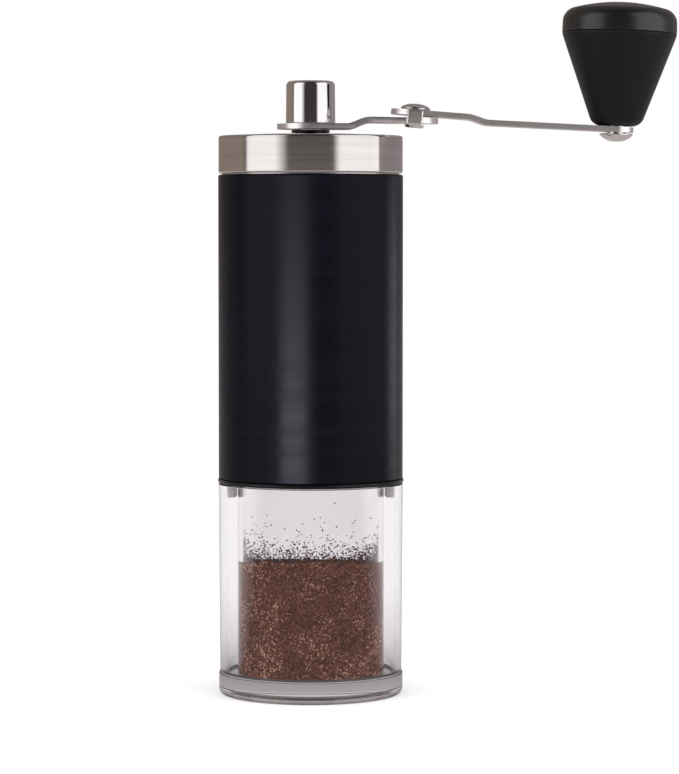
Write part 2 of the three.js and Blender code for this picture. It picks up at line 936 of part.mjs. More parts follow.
function crank() {
  const outer = new THREE.Group().add(
    named("outer_arm", outerArm(), "steel"),
    named("hinge_rivet", hingeRivet(), "chrome"),
    knob(),
  );
  outer.position.set(FOLD_X, 0, FOLD_Z);
  outer.rotation.y = FOLD_TILT;
  return new THREE.Group().add(
    named("socket_cap", socketCap(), "chrome"),
    named("inner_arm", innerArm(), "steel"),
    outer,
  );
}

const grinder = new THREE.Group().add(
  jar(),
  barrel(),
  grindingShaft(),
  lidAssembly(),
  crank(),
);

export default grinder;
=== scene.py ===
"""The looks of a hand crank coffee grinder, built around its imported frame.

Every visible piece is modelled again in fine mesh at the place and size that the frame gives, and
every piece, inside and out, gets a procedural finish. Lengths are in metres, as in the frame.
"""

import json
import logging
import math
import random
from collections.abc import Callable, Sequence
from dataclasses import dataclass
from enum import Enum

import bmesh
import bpy
from mathutils import Matrix, Vector


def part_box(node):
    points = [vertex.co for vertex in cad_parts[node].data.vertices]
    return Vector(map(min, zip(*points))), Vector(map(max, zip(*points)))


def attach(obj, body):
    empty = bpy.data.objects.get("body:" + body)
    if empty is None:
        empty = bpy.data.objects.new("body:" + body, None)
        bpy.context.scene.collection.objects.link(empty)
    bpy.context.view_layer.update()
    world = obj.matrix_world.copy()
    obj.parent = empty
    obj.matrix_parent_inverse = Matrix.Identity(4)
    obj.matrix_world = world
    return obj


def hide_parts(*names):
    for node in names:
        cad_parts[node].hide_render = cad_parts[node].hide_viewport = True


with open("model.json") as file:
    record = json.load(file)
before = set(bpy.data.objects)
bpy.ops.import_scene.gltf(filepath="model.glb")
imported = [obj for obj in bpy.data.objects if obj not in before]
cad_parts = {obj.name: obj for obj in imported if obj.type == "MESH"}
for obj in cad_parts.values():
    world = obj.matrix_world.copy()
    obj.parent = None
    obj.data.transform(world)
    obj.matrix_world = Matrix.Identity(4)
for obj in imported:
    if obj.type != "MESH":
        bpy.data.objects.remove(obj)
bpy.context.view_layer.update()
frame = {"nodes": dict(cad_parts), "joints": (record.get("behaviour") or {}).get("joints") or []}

log = logging.getLogger("grinder")

MM = 0.001
FINEST = 192  # facets round the sleeve and the lid
FINE = 128  # facets round the jar, the steel tube and the knob
MEDIUM = 64  # facets round the small turned pieces
NEAR = 1e-6  # how close two lengths are to count as equal
PARKED = 5.0  # a strap's shaped columns wait this far along X, clear of the others


# ------------------------------------------------------------------ modelling


@dataclass(frozen=True)
class Corner:
    """One corner of a turned profile.

    Attributes:
        radius: distance from the axis.
        height: place along the axis.
        rounding: radius of the bevel on the corner, or 0 for a sharp one.
        steps: segments of the bevel.
    """

    radius: float
    height: float
    rounding: float = 0.0
    steps: int = 4


def in_mm(above: float, *rows: tuple[float, ...]) -> list[Corner]:
    """Corners whose sizes are given in millimetres.

    Args:
        above: the height, in metres, that the rows' heights are counted from.
        *rows: radius, height and, for a rounded corner, its rounding and its steps.

    Returns:
        The corners.
    """
    return [
        Corner(radius * MM, above + height * MM, *((bevel[0] * MM, bevel[1]) if bevel else ()))
        for radius, height, *bevel in rows
    ]


def deselect_all() -> None:
    """Leaves nothing selected, because an operator acts on all that is."""
    if bpy.context.mode != "OBJECT":
        bpy.ops.object.mode_set(mode="OBJECT")
    bpy.ops.object.select_all(action="DESELECT")


def activate(piece: bpy.types.Object) -> None:
    """Makes one object the only selected and the active one.

    Args:
        piece: the object that the next operators work on.
    """
    deselect_all()
    piece.select_set(True)
    bpy.context.view_layer.objects.active = piece


def fresh(name: str) -> bpy.types.Object:
    """Names the primitive that was just added, and its mesh.

    Args:
        name: the piece's name.

    Returns:
        The active object.
    """
    piece = bpy.context.active_object
    piece.name = name
    piece.data.name = name
    return piece


def pick(piece: bpy.types.Object, kind: str, wanted: Callable[[Vector], bool]) -> None:
    """Selects, in edit mode, the vertices or edges that answer a test with all their ends.

    Args:
        piece: the mesh object, in edit mode.
        kind: VERT or EDGE.
        wanted: the test of a vertex's place.
    """
    bpy.ops.mesh.select_mode(type=kind)
    bpy.ops.mesh.select_all(action="DESELECT")
    mesh = bmesh.from_edit_mesh(piece.data)
    for part in mesh.verts if kind == "VERT" else mesh.edges:
        ends = (part,) if kind == "VERT" else part.verts
        part.select = all(wanted(end.co) for end in ends)
    mesh.select_flush_mode()
    bmesh.update_edit_mesh(piece.data)


def face_outwards(piece: bpy.types.Object) -> None:
    """Turns a closed mesh's faces round if they point inwards.

    Args:
        piece: the closed mesh object.
    """
    probe = bmesh.new()
    probe.from_mesh(piece.data)
    inside_out = probe.calc_volume(signed=True) < 0
    probe.free()
    if inside_out:
        activate(piece)
        bpy.ops.object.mode_set(mode="EDIT")
        bpy.ops.mesh.select_all(action="SELECT")
        bpy.ops.mesh.flip_normals()
        bpy.ops.object.mode_set(mode="OBJECT")


def apply_modifier(piece: bpy.types.Object, kind: str, **settings: object) -> None:
    """Adds a modifier with its settings and applies it.

    Args:
        piece: the mesh object.
        kind: Blender's name of the modifier's type.
        **settings: the modifier's own properties.
    """
    activate(piece)
    modifier = piece.modifiers.new(kind.lower(), kind)
    for key, value in settings.items():
        setattr(modifier, key, value)
    bpy.ops.object.modifier_apply(modifier=modifier.name)


def smooth(piece: bpy.types.Object, degrees: float = 32.0) -> None:
    """Shades a piece smooth and keeps its real edges crisp.

    Args:
        piece: the mesh object.
        degrees: the least angle of an edge that stays crisp.
    """
    activate(piece)
    bpy.ops.object.shade_smooth_by_angle(angle=math.radians(degrees))
    apply_modifier(piece, "WEIGHTED_NORMAL", weight=100, keep_sharp=True)


def settle(piece: bpy.types.Object, place: Matrix) -> None:
    """Moves a piece's mesh to its place and leaves its object at the origin.

    Args:
        piece: the mesh object, modelled in a frame of its own.
        place: that frame in the row's frame.
    """
    piece.matrix_world = place
    activate(piece)
    bpy.ops.object.transform_apply(location=True, rotation=True, scale=True)


def turned(name: str, corners: Sequence[Corner], facets: int = FINE) -> bpy.types.Object:
    """Turns a closed piece by extruding a ring from corner to corner, as on a lathe.

    A profile that starts and ends at radius 0 makes a solid, and any other one makes a ring that
    closes on its first corner.

    Args:
        name: the piece's name.
        corners: the profile, anticlockwise with the radius across and the height up.
        facets: how many sides the rings have.

    Returns:
        The mesh object, on the Z axis.
    """
    solid = corners[0].radius == 0
    rings = list(corners[1:-1]) if solid else [*corners, corners[0]]
    start = rings[0]
    fill = "NGON" if solid else "NOTHING"
    deselect_all()
    bpy.ops.mesh.primitive_circle_add(
        vertices=facets, radius=start.radius, fill_type=fill, location=(0, 0, 0)
    )
    piece = fresh(name)
    bpy.ops.object.mode_set(mode="EDIT")
    bpy.ops.mesh.select_all(action="SELECT")
    bpy.ops.transform.translate(value=(0, 0, start.height))
    for last, corner in zip(rings, rings[1:]):
        rise = (0, 0, corner.height - last.height)
        grow = corner.radius / last.radius
        bpy.ops.mesh.extrude_region_move(TRANSFORM_OT_translate={"value": rise})
        bpy.ops.transform.resize(value=(grow, grow, 1), center_override=(0, 0, 0))
    bpy.ops.mesh.select_all(action="SELECT")
    bpy.ops.mesh.remove_doubles(threshold=NEAR)
    for corner in corners:
        if corner.rounding:
            round_ring(piece, corner)
    bpy.ops.object.mode_set(mode="OBJECT")
    face_outwards(piece)
    smooth(piece)
    return piece


def round_ring(piece: bpy.types.Object, corner: Corner) -> None:
    """Bevels the ring of edges at one corner of a turned piece.

    Args:
        piece: the turned piece, in edit mode.
        corner: the corner, with its rounding.
    """

    def on_ring(end: Vector) -> bool:
        """Says if a vertex lies on the corner's ring."""
        across = math.hypot(end.x, end.y) - corner.radius
        return abs(across) < 10 * NEAR and abs(end.z - corner.height) < 10 * NEAR

    pick(piece, "EDGE", on_ring)
    bpy.ops.mesh.bevel(
        offset_type="OFFSET",
        offset=corner.rounding,
        segments=corner.steps,
        profile=0.5,
        affect="EDGES",
        clamp_overlap=True,
    )


def tube_corners(
    inner: float, outer: float, bottom: float, top: float, edge: float
) -> list[Corner]:
    """The four corners of a plain tube.

    Args:
        inner: bore radius.
        outer: outside radius.
        bottom: height of the foot.
        top: height of the top.
        edge: rounding of the corners.

    Returns:
        The corners, anticlockwise.
    """
    ends = ((inner, bottom), (outer, bottom), (outer, top), (inner, top))
    return [Corner(radius, height, edge, 2) for radius, height in ends]


def dome(radius: float, edge_height: float, rise: float, rings: int) -> list[Corner]:
    """Corners of a shallow dome, from its edge in to near its middle.

    Args:
        radius: radius of the dome's edge.
        edge_height: height of the edge.
        rise: how much higher the middle is.
        rings: how many corners.

    Returns:
        The corners, outermost first.
    """
    shares = [1 - ring / rings for ring in range(rings)]
    return [Corner(radius * share, edge_height + rise * (1 - share * share)) for share in shares]


def boxed(
    name: str, lowest: Sequence[float], highest: Sequence[float], edge: float
) -> bpy.types.Object:
    """A block between two corners, with rounded edges.

    Args:
        name: the block's name.
        lowest: lowest corner.
        highest: highest corner.
        edge: rounding of the edges.

    Returns:
        The mesh object.
    """
    deselect_all()
    middle = [(a + b) / 2 for a, b in zip(lowest, highest)]
    bpy.ops.mesh.primitive_cube_add(size=1, location=middle)
    block = fresh(name)
    bpy.ops.transform.resize(value=[b - a for a, b in zip(lowest, highest)])
    bpy.ops.object.transform_apply(location=True, rotation=True, scale=True)
    bpy.ops.object.mode_set(mode="EDIT")
    bpy.ops.mesh.select_all(action="SELECT")
    bpy.ops.mesh.bevel(offset=edge, segments=3, profile=0.5, affect="EDGES")
    bpy.ops.object.mode_set(mode="OBJECT")
    return block


def rod(
    radius: float, bottom: float, top: float, x: float = 0.0, facets: int = 48
) -> bpy.types.Object:
    """A plain upright rod, used as a cutting tool.

    Args:
        radius: its radius.
        bottom: height of its foot.
        top: height of its top.
        x: place along X.
        facets: how many sides it has.

    Returns:
        The mesh object.
    """
    deselect_all()
    middle = (x, 0, (bottom + top) / 2)
    bpy.ops.mesh.primitive_cylinder_add(
        vertices=facets, radius=radius, depth=top - bottom, location=middle
    )
    bpy.ops.object.transform_apply(location=True, rotation=True, scale=True)
    return fresh("tool")


def merged(
    first: bpy.types.Object, *others: bpy.types.Object, how: str = "UNION"
) -> bpy.types.Object:
    """Fuses closed meshes into one, or cuts them out of it.

    Args:
        first: the piece that stays.
        *others: the closed meshes that are used up.
        how: UNION or DIFFERENCE.

    Returns:
        The piece.
    """
    for other in others:
        apply_modifier(first, "BOOLEAN", operation=how, object=other, solver="EXACT")
        bpy.data.objects.remove(other)
    return first


# ------------------------------------------------------------------ node groups

Colour = tuple[float, float, float]
Socket = bpy.types.NodeSocket


def opaque(colour: Colour | Socket) -> tuple[float, ...] | Socket:
    """A plain colour with full alpha, or a socket as it is."""
    return (*colour, 1.0) if isinstance(colour, tuple) else colour


class Wiring:
    """Adds and links the nodes of one material, group, lamp or world."""

    def __init__(self, tree: bpy.types.NodeTree) -> None:
        """Keeps the tree that the nodes go into."""
        self.tree = tree

    def feed(self, node: bpy.types.Node, **values: object) -> None:
        """Sets a node's inputs to plain values, or links them where the value is a socket.

        Args:
            node: the node.
            **values: inputs by name, with _ for a space, or by place, such as in_0.
        """
        for key, value in values.items():
            place = key.removeprefix("in_")
            socket = node.inputs[int(place) if place.isdigit() else place.replace("_", " ")]
            if isinstance(value, Socket):
                self.tree.links.new(value, socket)
            else:
                socket.default_value = value

    def add(self, kind: str, **values: object) -> bpy.types.Node:
        """Adds a node, sets its properties and feeds its inputs.

        Args:
            kind: the node's type, without its ShaderNode prefix.
            **values: properties by their own name, and inputs as feed() takes them.

        Returns:
            The node.
        """
        node = self.tree.nodes.new("ShaderNode" + kind)
        for key in [key for key in values if hasattr(node, key)]:
            setattr(node, key, values.pop(key))
        self.feed(node, **values)
        return node

    def place(self) -> Socket:
        """The object's own coordinates."""
        return self.add("TexCoord").outputs["Object"]

    def math(self, operation: str, first: object, second: object = 0.0) -> Socket:
        """The result of a Math node on two numbers or sockets."""
        return self.add("Math", operation=operation, in_0=first, in_1=second).outputs[0]

    def stretched(self, place: Socket, by: object) -> Socket:
        """Coordinates multiplied by a scale for each axis."""
        return self.add("VectorMath", operation="MULTIPLY", in_0=place, in_1=by).outputs[0]

    def noise(self, place: Socket, scale: object, **values: float) -> Socket:
        """The factor of a Noise Texture, whose other inputs go by name."""
        return self.add("TexNoise", Vector=place, Scale=scale, **values).outputs["Fac"]

    def mix(self, factor: object, first: Colour | Socket, second: Colour | Socket) -> Socket:
        """A colour that goes from the first to the second as the factor goes from 0 to 1."""
        ends = {"in_6": opaque(first), "in_7": opaque(second)}
        return self.add("Mix", data_type="RGBA", in_0=factor, **ends).outputs[2]

    def ramp(self, factor: Socket, *stops: tuple[float, Colour]) -> Socket:
        """A Color Ramp node.

        Args:
            factor: the socket that drives it.
            *stops: places and linear colours.

        Returns:
            The colour's socket.
        """
        node = self.add("ValToRGB", Fac=factor)
        elements = node.color_ramp.elements
        elements.remove(elements[1])
        elements[0].position, elements[0].color = stops[0][0], opaque(stops[0][1])
        for place, colour in stops[1:]:
            elements.new(place).color = opaque(colour)
        return node.outputs["Color"]

    def bump(self, shader: bpy.types.Node, height: Socket, strength: float, depth: float) -> None:
        """Feeds a height into a shader's normal.

        Args:
            shader: the shader.
            height: the height, from 0 to 1.
            strength: how much the bump shows.
            depth: how high 1 stands, in metres.
        """
        node = self.add("Bump", Strength=strength, Distance=depth, Height=height)
        self.feed(shader, Normal=node.outputs[0])

    def surface(self, factor: Socket, first: bpy.types.Node, second: bpy.types.Node) -> None:
        """Puts a mix of two shaders on a material's output.

        Args:
            factor: 0 for the first shader and 1 for the second.
            first: a shader.
            second: another shader.
        """
        ends = {"in_1": first.outputs[0], "in_2": second.outputs[0]}
        mix = self.add("MixShader", in_0=factor, **ends)
        self.feed(self.tree.nodes["Material Output"], Surface=mix.outputs[0])


class Effects(Enum):
    """The node groups that more than one finish uses."""

    BRUSHING = "brushing"
    HANDLING = "handling"
    EDGE_WEAR = "edge_wear"
    MOULD_GRAIN = "mould_grain"


def new_group(
    which: Effects, inputs: dict[str, float], *outputs: str
) -> tuple[Wiring, bpy.types.Node, bpy.types.Node]:
    """Starts a shader node group with number sockets.

    Args:
        which: the group.
        inputs: names and default values.
        *outputs: names.

    Returns:
        The group's wiring, its input node and its output node.
    """
    tree = bpy.data.node_groups.new(which.value, "ShaderNodeTree")
    kind = "NodeSocketFloat"
    for label, value in inputs.items():
        socket = tree.interface.new_socket(label, in_out="INPUT", socket_type=kind)
        socket.default_value = value
    for label in outputs:
        tree.interface.new_socket(label, in_out="OUTPUT", socket_type=kind)
    return Wiring(tree), tree.nodes.new("NodeGroupInput"), tree.nodes.new("NodeGroupOutput")


def brushing_group() -> bpy.types.NodeTree:
    """Fine lines left by brushing, with slow changes of depth.

    Returns:
        A group that takes the lines' density per metre along each axis.
    """
    densities = {"Along X": 30.0, "Along Y": 30.0, "Along Z": 6000.0}
    wire, source, target = new_group(Effects.BRUSHING, densities, "Height", "Streaks")
    axes = dict(zip("XYZ", source.outputs))
    lines = wire.stretched(wire.place(), wire.add("CombineXYZ", **axes).outputs[0])
    fine = wire.noise(lines, 1.0, Detail=3.0, Roughness=0.65)
    calmer = wire.stretched(lines, (0.7, 0.7, 0.13))
    broad = wire.noise(calmer, 1.0, Detail=2.0, Roughness=0.5)
    streaks = wire.math("MULTIPLY", fine, broad)
    wire.feed(target, Height=fine, Streaks=wire.math("MULTIPLY", streaks, 2.0))
    return wire.tree


def handling_group() -> bpy.types.NodeTree:
    """Faint smears where hands and cloths pass, as a roughness to add.

    Returns:
        A group that takes the smears' number per metre and their strength.
    """
    wire, source, target = new_group(
        Effects.HANDLING, {"Size": 60.0, "Amount": 0.05}, "Roughness"
    )
    smears = wire.noise(wire.place(), source.outputs["Size"], Detail=4.0, Distortion=1.2)
    centred = wire.math("SUBTRACT", smears, 0.45)
    wire.feed(target, Roughness=wire.math("MULTIPLY", centred, source.outputs["Amount"]))
    return wire.tree


def edge_wear_group() -> bpy.types.NodeTree:
    """Where a sharp edge is rubbed, as a mask.

    Returns:
        A group that takes how sharp an edge has to be and how much it is worn.
    """
    wire, source, target = new_group(
        Effects.EDGE_WEAR, {"Sharpness": 8.0, "Amount": 1.0}, "Mask"
    )
    raised = wire.math("SUBTRACT", wire.add("NewGeometry").outputs["Pointiness"], 0.52)
    steep = wire.math("MULTIPLY", raised, source.outputs["Sharpness"])
    worn = wire.math("MULTIPLY", steep, wire.noise(wire.place(), 900.0, Detail=3.0))
    amount = wire.math("MULTIPLY", worn, source.outputs["Amount"])
    wire.feed(target, Mask=wire.add("Clamp", Value=amount).outputs[0])
    return wire.tree


def mould_grain_group() -> bpy.types.NodeTree:
    """The fine spark-eroded grain of a moulded surface.

    Returns:
        A group that takes the grain's density per metre.
    """
    wire, source, target = new_group(
        Effects.MOULD_GRAIN, {"Density": 4000.0}, "Height", "Mottle"
    )
    place = wire.place()
    grain = wire.noise(place, source.outputs["Density"], Detail=2.0)
    wire.feed(target, Height=grain, Mottle=wire.noise(place, 180.0, Detail=3.0))
    return wire.tree


GROUP_MAKERS: dict[Effects, Callable[[], bpy.types.NodeTree]] = {
    Effects.BRUSHING: brushing_group,
    Effects.HANDLING: handling_group,
    Effects.EDGE_WEAR: edge_wear_group,
    Effects.MOULD_GRAIN: mould_grain_group,
}


def effect(wire: Wiring, which: Effects, **inputs: float) -> bpy.types.Node:
    """Places a shared group in a material, building it the first time.

    Args:
        wire: the material's wiring.
        which: the group.
        **inputs: values for its inputs, with _ for a space.

    Returns:
        The group's node.
    """
    tree = bpy.data.node_groups.get(which.value) or GROUP_MAKERS[which]()
    node = wire.tree.nodes.new("ShaderNodeGroup")
    node.node_tree = tree
    wire.feed(node, **inputs)
    return node


# ------------------------------------------------------------------ finishes

SPREAD = 0.08  # how far bare steel's roughness goes up and down with its brush lines
COAT_SPREAD = 0.12  # the same under the sleeve's coat
BROWNS_AND_PAINTED_GLINTS = (
    (0.0, (0.02, 0.0065, 0.004)),
    (0.28, (0.085, 0.024, 0.0135)),
    (0.6, (0.18, 0.056, 0.032)),
    (0.84, (0.31, 0.12, 0.074)),
    # painted glints: this palest stop makes a few grains look as if they caught the light
    (0.97, (0.85, 0.5, 0.38)),
)  # ground coffee, from its darkest grains to its palest, ending in painted glints


class Brushed(Enum):
    """Which way a brushed surface's lines run, as their density along each axis."""

    ROUND_Z = (25.0, 25.0, 7000.0)
    ALONG_X = (40.0, 5200.0, 2600.0)

    def lines(self, wire: Wiring, fineness: float = 1.0) -> bpy.types.Node:
        """Places the brushing group, with its lines along Z as fine as asked."""
        x, y, z = self.value
        return effect(wire, Effects.BRUSHING, Along_X=x, Along_Y=y, Along_Z=fineness * z)


def scaled(colour: Colour, by: float, plus: float = 0.0) -> Colour:
    """A colour made darker or lighter, up to white."""
    return tuple(min(1.0, by * channel + plus) for channel in colour)


def smeared(wire: Wiring, roughness: float, amount: float, size: float = 60.0) -> Socket:
    """A roughness with faint smears of handling, so many to the metre."""
    smears = effect(wire, Effects.HANDLING, Amount=amount, Size=size)
    return wire.math("ADD", smears.outputs[0], roughness)


def principled(name: str) -> tuple[bpy.types.Material, Wiring, bpy.types.Node]:
    """A new material with a Principled shader on its output.

    Args:
        name: the material's name.

    Returns:
        The material, its wiring and the shader.
    """
    material = bpy.data.materials.new(name)
    material.use_nodes = True
    return material, Wiring(material.node_tree), material.node_tree.nodes["Principled BSDF"]


@dataclass(frozen=True)
class Finish:
    """What every finish has: a name, a slot and a way to feed its shader.

    Attributes:
        name: the finish's name.
        slot: the record's material slot; not used by this script.
    """

    name: str
    slot: str

    def build(self) -> bpy.types.Material:
        """Makes the material."""
        material, wire, shader = principled(self.name)
        self.wire_up(wire, shader)
        return material

    def wire_up(self, wire: Wiring, shader: bpy.types.Node) -> None:
        """Feeds the shader.

        Args:
            wire: the material's wiring.
            shader: its Principled shader.
        """
        raise NotImplementedError


@dataclass(frozen=True)
class Metal(Finish):
    """A bare metal, brushed or polished.

    Attributes:
        colour: linear base colour.
        roughness: mean roughness.
        lines: which way it is brushed, or None where it is polished.
        depth: depth of the brush lines.
        stretch: how much the highlight is drawn out across the lines.
        smears: how much handling shows.
    """

    colour: Colour
    roughness: float
    lines: Brushed | None = None
    depth: float = 2e-6
    stretch: float = 0.0
    smears: float = 0.05

    def wire_up(self, wire: Wiring, shader: bpy.types.Node) -> None:
        """Feeds the shader with smears, rubbed edges and any brush lines."""
        wire.feed(shader, Metallic=1.0, Anisotropic=self.stretch, Anisotropic_Rotation=0.25)
        rough = smeared(wire, self.roughness, self.smears)
        if self.lines:
            lines = self.lines.lines(wire)
            tone = lines.outputs["Streaks"]
            wire.bump(shader, lines.outputs["Height"], 0.6, self.depth)
            streaky = wire.math("MULTIPLY", tone, SPREAD)
            rough = wire.math("ADD", rough, wire.math("SUBTRACT", streaky, SPREAD / 2))
        else:
            tone = wire.noise(wire.place(), 70.0, Detail=3.0)
        bright = scaled(self.colour, 1.05)
        colour = wire.ramp(tone, (0.25, scaled(self.colour, 0.94)), (0.75, bright))
        wear = effect(wire, Effects.EDGE_WEAR, Amount=0.5)
        rubbed = wire.mix(wear.outputs[0], colour, bright)
        wire.feed(shader, Base_Color=rubbed, Roughness=rough)
        if self.stretch:
            tangent = wire.add("Tangent", direction_type="RADIAL", axis="Z")
            wire.feed(shader, Tangent=tangent.outputs[0])


@dataclass(frozen=True)
class Coated(Finish):
    """A black coat over brushed metal, whose lines show through as fine ridges.

    Attributes:
        colour: linear base colour.
        roughness: mean roughness.
        shine: specular level of the coat.
    """

    colour: Colour
    roughness: float
    shine: float

    def wire_up(self, wire: Wiring, shader: bpy.types.Node) -> None:
        """Feeds the shader with smears and coarser brush lines than bare steel's."""
        wire.feed(shader, Metallic=0.0, Specular_IOR_Level=self.shine)
        lines = Brushed.ROUND_Z.lines(wire, 0.5)
        tone = lines.outputs["Streaks"]
        rough = smeared(wire, self.roughness - COAT_SPREAD / 2, 0.04, 25.0)
        streaky = wire.math("MULTIPLY", tone, COAT_SPREAD)
        deep, light = scaled(self.colour, 0.75), scaled(self.colour, 1.35)
        colour = wire.ramp(tone, (0.2, deep), (0.8, light))
        wire.feed(shader, Base_Color=colour, Roughness=wire.math("ADD", rough, streaky))
        wire.bump(shader, lines.outputs["Height"], 0.7, 9e-6)


@dataclass(frozen=True)
class Moulded(Finish):
    """A moulded plastic or rubber.

    Attributes:
        colour: linear base colour.
        roughness: mean roughness.
        grain: depth of the mould's grain.
        shine: specular level.
    """

    colour: Colour
    roughness: float
    grain: float = 4e-6
    shine: float = 0.5

    def wire_up(self, wire: Wiring, shader: bpy.types.Node) -> None:
        """Feeds the shader with the mould's grain, smears and paler worn edges."""
        wire.feed(shader, Metallic=0.0, Specular_IOR_Level=self.shine)
        grain = effect(wire, Effects.MOULD_GRAIN, Density=4200.0)
        wear = effect(wire, Effects.EDGE_WEAR, Amount=0.35)
        deep, light = scaled(self.colour, 0.88), scaled(self.colour, 1.12)
        colour = wire.ramp(grain.outputs["Mottle"], (0.3, deep), (0.7, light))
        worn = wire.mix(wear.outputs[0], colour, scaled(self.colour, 2.2, 0.01))
        rough = smeared(wire, self.roughness, 0.08, 50.0)
        wire.feed(shader, Base_Color=worn, Roughness=rough)
        wire.bump(shader, grain.outputs["Height"], 0.5, self.grain)


@dataclass(frozen=True)
class Clear(Finish):
    """A clear acrylic, which lets lamps' light through to what it holds.

    Attributes:
        tint: linear colour of what passes.
        passes: how much of a lamp's light passes straight through.
    """

    tint: Colour
    passes: float = 0.9

    def wire_up(self, wire: Wiring, shader: bpy.types.Node) -> None:
        """Feeds the shader, and lets shadow rays past it."""
        wire.feed(shader, Metallic=0.0, IOR=1.49, Transmission_Weight=1.0)
        rough = wire.math("MAXIMUM", smeared(wire, 0.0, 0.03, 80.0), 0.0)
        wire.feed(shader, Base_Color=opaque(self.tint), Roughness=rough)
        shadow = wire.add("BsdfTransparent", Color=opaque((self.passes,) * 3))
        wire.surface(wire.add("LightPath").outputs["Is Shadow Ray"], shader, shadow)


@dataclass(frozen=True)
class Grounds(Finish):
    """Ground coffee: a crowd of small grains in several browns.

    Attributes:
        density: grains per metre.
        depth: how much darker than the mean its grains are.
        streaks_from: height below which streaks down the wall begin to show.
        streaks_full: height below which they show fully.
    """

    density: float = 2900.0
    depth: float = 0.0
    streaks_from: float = 24 * MM
    streaks_full: float = 8 * MM

    def wire_up(self, wire: Wiring, shader: bpy.types.Node) -> None:
        """Feeds the shader with grains, broad patches and streaks low on the wall."""
        wire.feed(shader, Metallic=0.0, Specular_IOR_Level=0.12)
        place = wire.place()
        grains = wire.add("TexVoronoi", Vector=place, Scale=self.density, Randomness=1.0)
        chance = wire.add("SeparateColor", Color=grains.outputs["Color"])
        drift = wire.math("MULTIPLY", wire.noise(place, 110.0, Detail=3.0), 0.5)
        tone = wire.math("ADD", wire.math("MULTIPLY", chance.outputs[0], 0.8), drift)
        height = wire.add("SeparateXYZ", Vector=place).outputs["Z"]
        reach = {"in_1": self.streaks_from, "in_2": self.streaks_full, "in_3": 0.0, "in_4": 0.3}
        low_down = wire.add("MapRange", Value=height, **reach).outputs[0]
        drawn = wire.noise(wire.stretched(place, (260, 260, 40)), 1.0, Detail=2.0)
        darker = wire.math("SUBTRACT", drawn, 0.5)
        tone = wire.math("ADD", tone, wire.math("MULTIPLY", darker, low_down))
        # the ramp's palest stop paints glints on a few grains
        colour = wire.ramp(wire.math("SUBTRACT", tone, 0.12 + self.depth), *BROWNS_AND_PAINTED_GLINTS)
        gloss = wire.add("MapRange", Value=chance.outputs[1], in_3=0.45, in_4=0.95)
        wire.feed(shader, Base_Color=colour, Roughness=gloss.outputs[0])
        lump = wire.math("SUBTRACT", 1.0, grains.outputs["Distance"])
        wire.bump(shader, lump, 0.6, 0.15 * MM)


@dataclass(frozen=True)
class Fired(Finish):
    """A fired ceramic with a faint speckle.

    Attributes:
        colour: linear base colour.
    """

    colour: Colour

    def wire_up(self, wire: Wiring, shader: bpy.types.Node) -> None:
        """Feeds the shader with the speckle and smears."""
        speckle = wire.noise(wire.place(), 1500.0, Detail=2.0)
        colour = wire.ramp(speckle, (0.35, scaled(self.colour, 0.86)), (0.6, self.colour))
        rough = smeared(wire, 0.5, 0.1)
        wire.feed(shader, Metallic=0.0, Base_Color=colour, Roughness=rough)
        wire.bump(shader, speckle, 0.4, 1e-5)


LID_STEEL = Metal(
    "lid_steel", "brushed_steel", (0.66, 0.63, 0.62), 0.15, Brushed.ROUND_Z, 1.2e-6, 0.7, 0.02
)
TUBE_STEEL = Metal(
    "tube_steel", "brushed_steel", (0.6, 0.585, 0.575), 0.3, Brushed.ROUND_Z, 2e-6, 0.4
)
STRAP_STEEL = Metal(
    "strap_steel", "polished_steel", (0.84, 0.82, 0.825), 0.3, Brushed.ALONG_X, 3e-6
)
CHROME = Metal("cap_chrome", "chrome", (0.8, 0.785, 0.79), 0.09, smears=0.06)
PLAIN_STEEL = Metal("plain_steel", "plain_steel", (0.5, 0.5, 0.5), 0.32)
BRASS = Metal("bush_brass", "bush_brass", (0.6, 0.4, 0.14), 0.3)
SLEEVE_COAT = Coated("sleeve_coat", "black_sleeve", (0.0021, 0.0019, 0.0040), 0.3, 0.07)
COLLAR_BLACK = Moulded("collar_black", "gloss_black", (0.003, 0.003, 0.0035), 0.24, 1e-6, 0.25)
KNOB_BLACK = Moulded("knob_black", "matte_black", (0.0040, 0.0040, 0.0056), 0.44, 6e-6, 0.2)
KNOB_SATIN = Moulded("knob_satin", "satin_black", (0.0036, 0.0036, 0.0048), 0.3, 2e-6, 0.66)
INNER_BLACK = Moulded("inner_black", "matte_black", (0.012, 0.012, 0.013), 0.6)
GREY_PLASTIC = Moulded("grey_plastic", "grey_plastic", (0.07, 0.07, 0.072), 0.55)
# Painted light: the lugs, part of the black collar, get a pale grey that stands in for the light
# reaching them through the jar.
LUGS_PAINTED_LIT = Moulded("lugs_painted_lit_grey", "grey_plastic", (0.3, 0.28, 0.275), 0.5)
SILICONE = Moulded("seal_silicone", "silicone", (0.6, 0.59, 0.57), 0.65)
ACRYLIC = Clear("clear_acrylic", "clear_acrylic", (0.984, 0.969, 0.982))
GROUNDS = Grounds("coffee_grounds", "ground_coffee")
DARK_GROUNDS = Grounds("loose_grounds", "ground_coffee", depth=0.3)
CERAMIC = Fired("burr_ceramic", "burr_ceramic", (0.82, 0.79, 0.72))

made_materials: dict[str, bpy.types.Material] = {}


def paint(piece: bpy.types.Object, finish: Finish) -> None:
    """Gives a piece the material of its finish, which is made the first time.

    Args:
        piece: the mesh object.
        finish: its finish.
    """
    if finish.name not in made_materials:
        made_materials[finish.name] = finish.build()
    piece.data.materials.clear()
    piece.data.materials.append(made_materials[finish.name])


